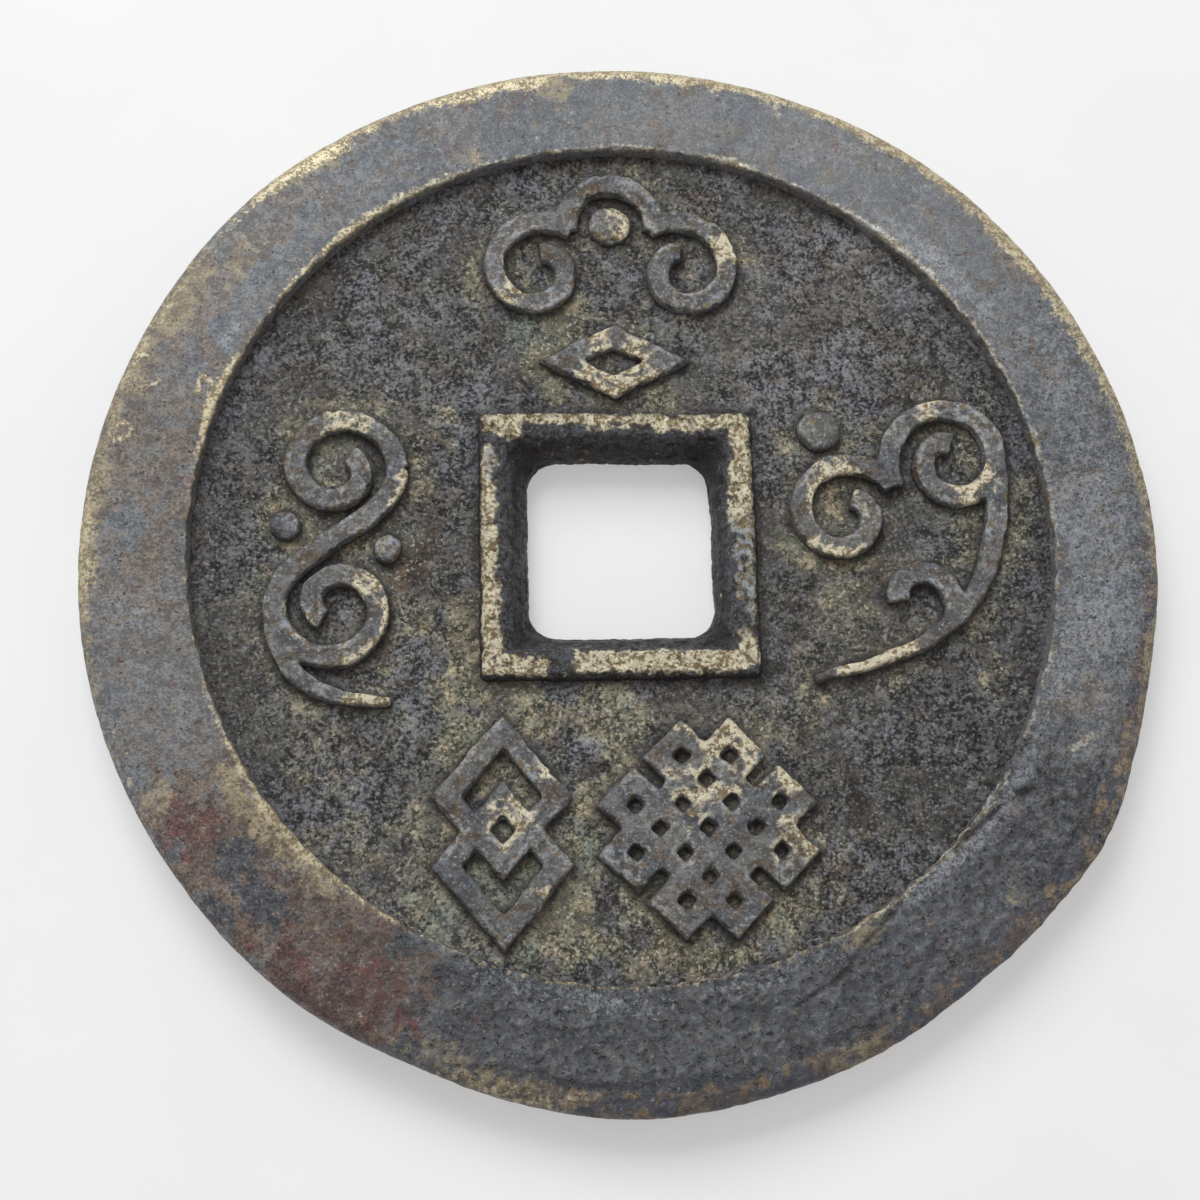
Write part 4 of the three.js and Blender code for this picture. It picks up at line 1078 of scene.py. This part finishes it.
# Relief: each CAD ornament becomes a worn casting, remeshed finely, softened and made uneven
castShape = {
    "sink": 0.12 * mm,             # how far the foot reaches into the field
    "sway": 0.095 * mm,            # of the outline
    # size of the lumps in millimetres, height, seed
    "lumps": ((1.3, 0.045, 1), (0.42, 0.028, 2)),
    "pitDepth": 0.22, "thinning": 0.012, "topLoss": 0.05,
    "frontVoxel": 0.07 * mm,
    "backVoxel": 0.1 * mm,
    "softening": 9,
    # x, y, size, strength
    "rubbed": ((-0.5, 9.5, 3, 0.7), (0.6, 8.6, 1.2, 1), (6.4, 17.4, 1.6, 1), (-5.6, 15, 1, 0.7),
               (0.2, 18.6, 0.9, 0.6), (-11.2, -2.6, 2.2, 1), (-12.6, -6.4, 2, 0.9),
               (-10.8, 3.2, 1.6, 0.8), (-14.6, 7, 1.2, 0.6), (-16.6, -3.6, 1, 0.6),
               (10.9, 3.6, 1.6, 0.9), (11, -0.6, 1.4, 0.9), (12.8, -5.8, 2.2, 0.9),
               (18.6, 4.2, 1.5, 1), (16.2, 8.6, 1.2, 0.6), (4.8, -9.8, 2.2, 1),
               (3, -12.6, 1.5, 0.9), (7.4, -11.8, 1.4, 0.8), (-3, -11, 1.5, 0.7),
               (-6.4, -13.6, 1.4, 0.7), (-4.6, -18.6, 1.2, 0.6), (8.5, -15, 1.5, 0.6)),
}


def castOrnament(node):
    look = castShape
    front = not node.startswith("back_")
    foot = fieldTop if front else fieldBase
    side = 1 if front else -1
    bm = bmesh.new()
    bm.from_mesh(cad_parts[node].data)
    bmesh.ops.remove_doubles(bm, verts=bm.verts, dist=hair)
    lowest = [v for v in bm.verts if abs(v.co.z - foot) < 10 * hair]
    bmesh.ops.translate(bm, verts=lowest, vec=(0, 0, -side * look["sink"]))
    rough = meshFrom(bm, node + "_rough")
    holder = addObject(node + "_rough", rough)
    remesh = holder.modifiers.new("remesh", "REMESH")
    remesh.mode = "VOXEL"
    remesh.voxel_size = look["frontVoxel" if front else "backVoxel"]
    remesh.adaptivity = 0
    settled = holder.evaluated_get(bpy.context.evaluated_depsgraph_get())
    bm = bmesh.new()
    bm.from_mesh(settled.to_mesh())
    settled.to_mesh_clear()
    bpy.data.objects.remove(holder)
    bpy.data.meshes.remove(rough)
    soften(bm, look["softening"])
    piece = placePiece(node + "_cast", bm, reliefPatina, "relief_patina", node)
    finishOrnament(piece.data, foot, side)


def finishOrnament(mesh, foot, side):
    look = castShape
    points = readPoints(mesh)
    height = side * (points[:, 2] - foot)
    pits = np.clip(noiseAt(points, 0.55, 3) - 0.22, 0, 1)
    rise = layered(points, look["lumps"]) - look["pitDepth"] * pits - look["thinning"]
    points += readNormals(mesh) * (rise * mm)[:, None]
    for axis, seed in ((0, 4), (1, 6)):
        points[:, axis] += look["sway"] * layered(points, ((1.7, 1, seed), (0.6, 0.5, seed + 1)))
    lost = look["topLoss"] * mm * (1 + noiseAt(points, 4, 8))
    points[:, 2] -= side * lost * smoothStep(0, 0.4 * mm, height)
    writePoints(mesh, points)

    # edges that stand out are rubbed bare, and the bright metal along them is partly a painted highlight
    exposed = np.clip(standOut(mesh, 36) / (0.05 * mm), 0, 1)
    if side > 0:
        rubbed = blots(points, look["rubbed"], 0.8, 1.4, 21)
    else:
        rubbed = 0.8 * np.clip(0.2 + 1.4 * noiseAt(points, 3.5, 23), 0, 1)
    patchy = np.clip(0.35 + 0.9 * noiseAt(points, 2.4, 9), 0, 1)
    top = smoothStep(0.4 * mm, 0.6 * mm, height)
    paint(
        mesh,
        wear=top * (0.44 * rubbed + np.maximum(rubbed, 0.9 * patchy) * exposed),
        cool=smoothStep(0.45, 0.1, rubbed),
        # the lower half of the sides: grime and painted shade
        crease=smoothStep(0.42 * mm, 0.1 * mm, height),
    )


for node in frontRelief + backRelief:
    castOrnament(node)
print("relief: %d ornaments" % len(frontRelief + backRelief))


# Plain white floor under the coin, whose shadows are lifted for the camera alone
floorLook = {"size": 0.9, "under": 0.01 * mm, "tooth": 0.01 * mm, "lift": 0.38}


def makeFloorWhite():
    look = palette(white=(246, 246, 247), shade=(243, 243, 243))
    material, place, _ = newMaterial("floor_white")
    nodes = material.node_tree.nodes
    base = blend(remap(cloudy(place, 60.0), 0.35, 0.65), look["white"], look["shade"])
    tooth = cloudy(place, 2200.0, 4.0)
    dress(material, base, 0.0, 0.9, addBump(tooth, floorLook["tooth"], 0.3))
    surface = nodes["Principled BSDF"]
    surface.inputs["Specular IOR Level"].default_value = 0.2
    seen = addNode("LightPath", {}, material.node_tree).outputs
    direct = plus(seen["Is Camera Ray"], seen["Is Glossy Ray"], clamp=True)
    direct = plus(direct, seen["Is Transmission Ray"], clamp=True)
    glow = addNode("Emission", {"Color": look["white"]}, material.node_tree)
    mix = {0: times(direct, floorLook["lift"]), 1: surface.outputs[0], 2: glow.outputs[0]}
    feed(nodes["Material Output"].inputs["Surface"], addNode("MixShader", mix).outputs[0])
    return material


bm = bmesh.new()
bmesh.ops.create_grid(bm, x_segments=8, y_segments=8, size=floorLook["size"] / 2)
floor = addObject("floor", meshFrom(bm, "floor"))
floor.data.materials.append(makeFloorWhite())
floor.location.z = -floorLook["under"]


# Camera, fitted to the photo's frame of 1200 by 1200
view = {
    "target": Vector((-1.308, -1.711, 0)) * mm,
    "distance": 100 * mm,
    "tilt": math.radians(90 - 74.375),
    "azimuth": math.radians(-13.438),
    "roll": math.radians(12.497),
    "lens": 56.61,
    "sensor": 36.0,
    "seenFrom": 5 * mm,
    "seenTo": 10,
}
lens = bpy.data.cameras.new("camera")
lens.sensor_width = view["sensor"]
lens.lens = view["lens"]
lens.clip_start = view["seenFrom"]
lens.clip_end = view["seenTo"]
turn = Matrix.Rotation(view["azimuth"], 4, "Z") @ Matrix.Rotation(view["tilt"], 4, "X")
turn = turn @ Matrix.Rotation(view["roll"], 4, "Z")
back = Matrix.Translation((0, 0, view["distance"]))
scene.camera = addObject("camera", lens)
scene.camera.matrix_world = Matrix.Translation(view["target"]) @ turn @ back


# A window's light from behind and the left, with a pale surround
window = {"place": (-0.10, 0.26, 0.30), "size": 0.24, "power": 1.32, "color": (0.945, 0.98, 1.0)}
surround = {"color": (1.0, 0.965, 0.935, 1), "strength": 0.45}
glow = bpy.data.lights.new("window", "AREA")
glow.size = window["size"]
glow.energy = window["power"]
glow.color = window["color"]
lamp = addObject("window", glow)
lamp.location = window["place"]
lamp.rotation_euler = (-lamp.location).to_track_quat("-Z", "Y").to_euler()
scene.world = bpy.data.worlds.new("surround")
scene.world.use_nodes = True
background = scene.world.node_tree.nodes["Background"].inputs
background["Color"].default_value = surround["color"]
background["Strength"].default_value = surround["strength"]
scene.view_settings.view_transform = "Standard"
print("camera and lights placed")
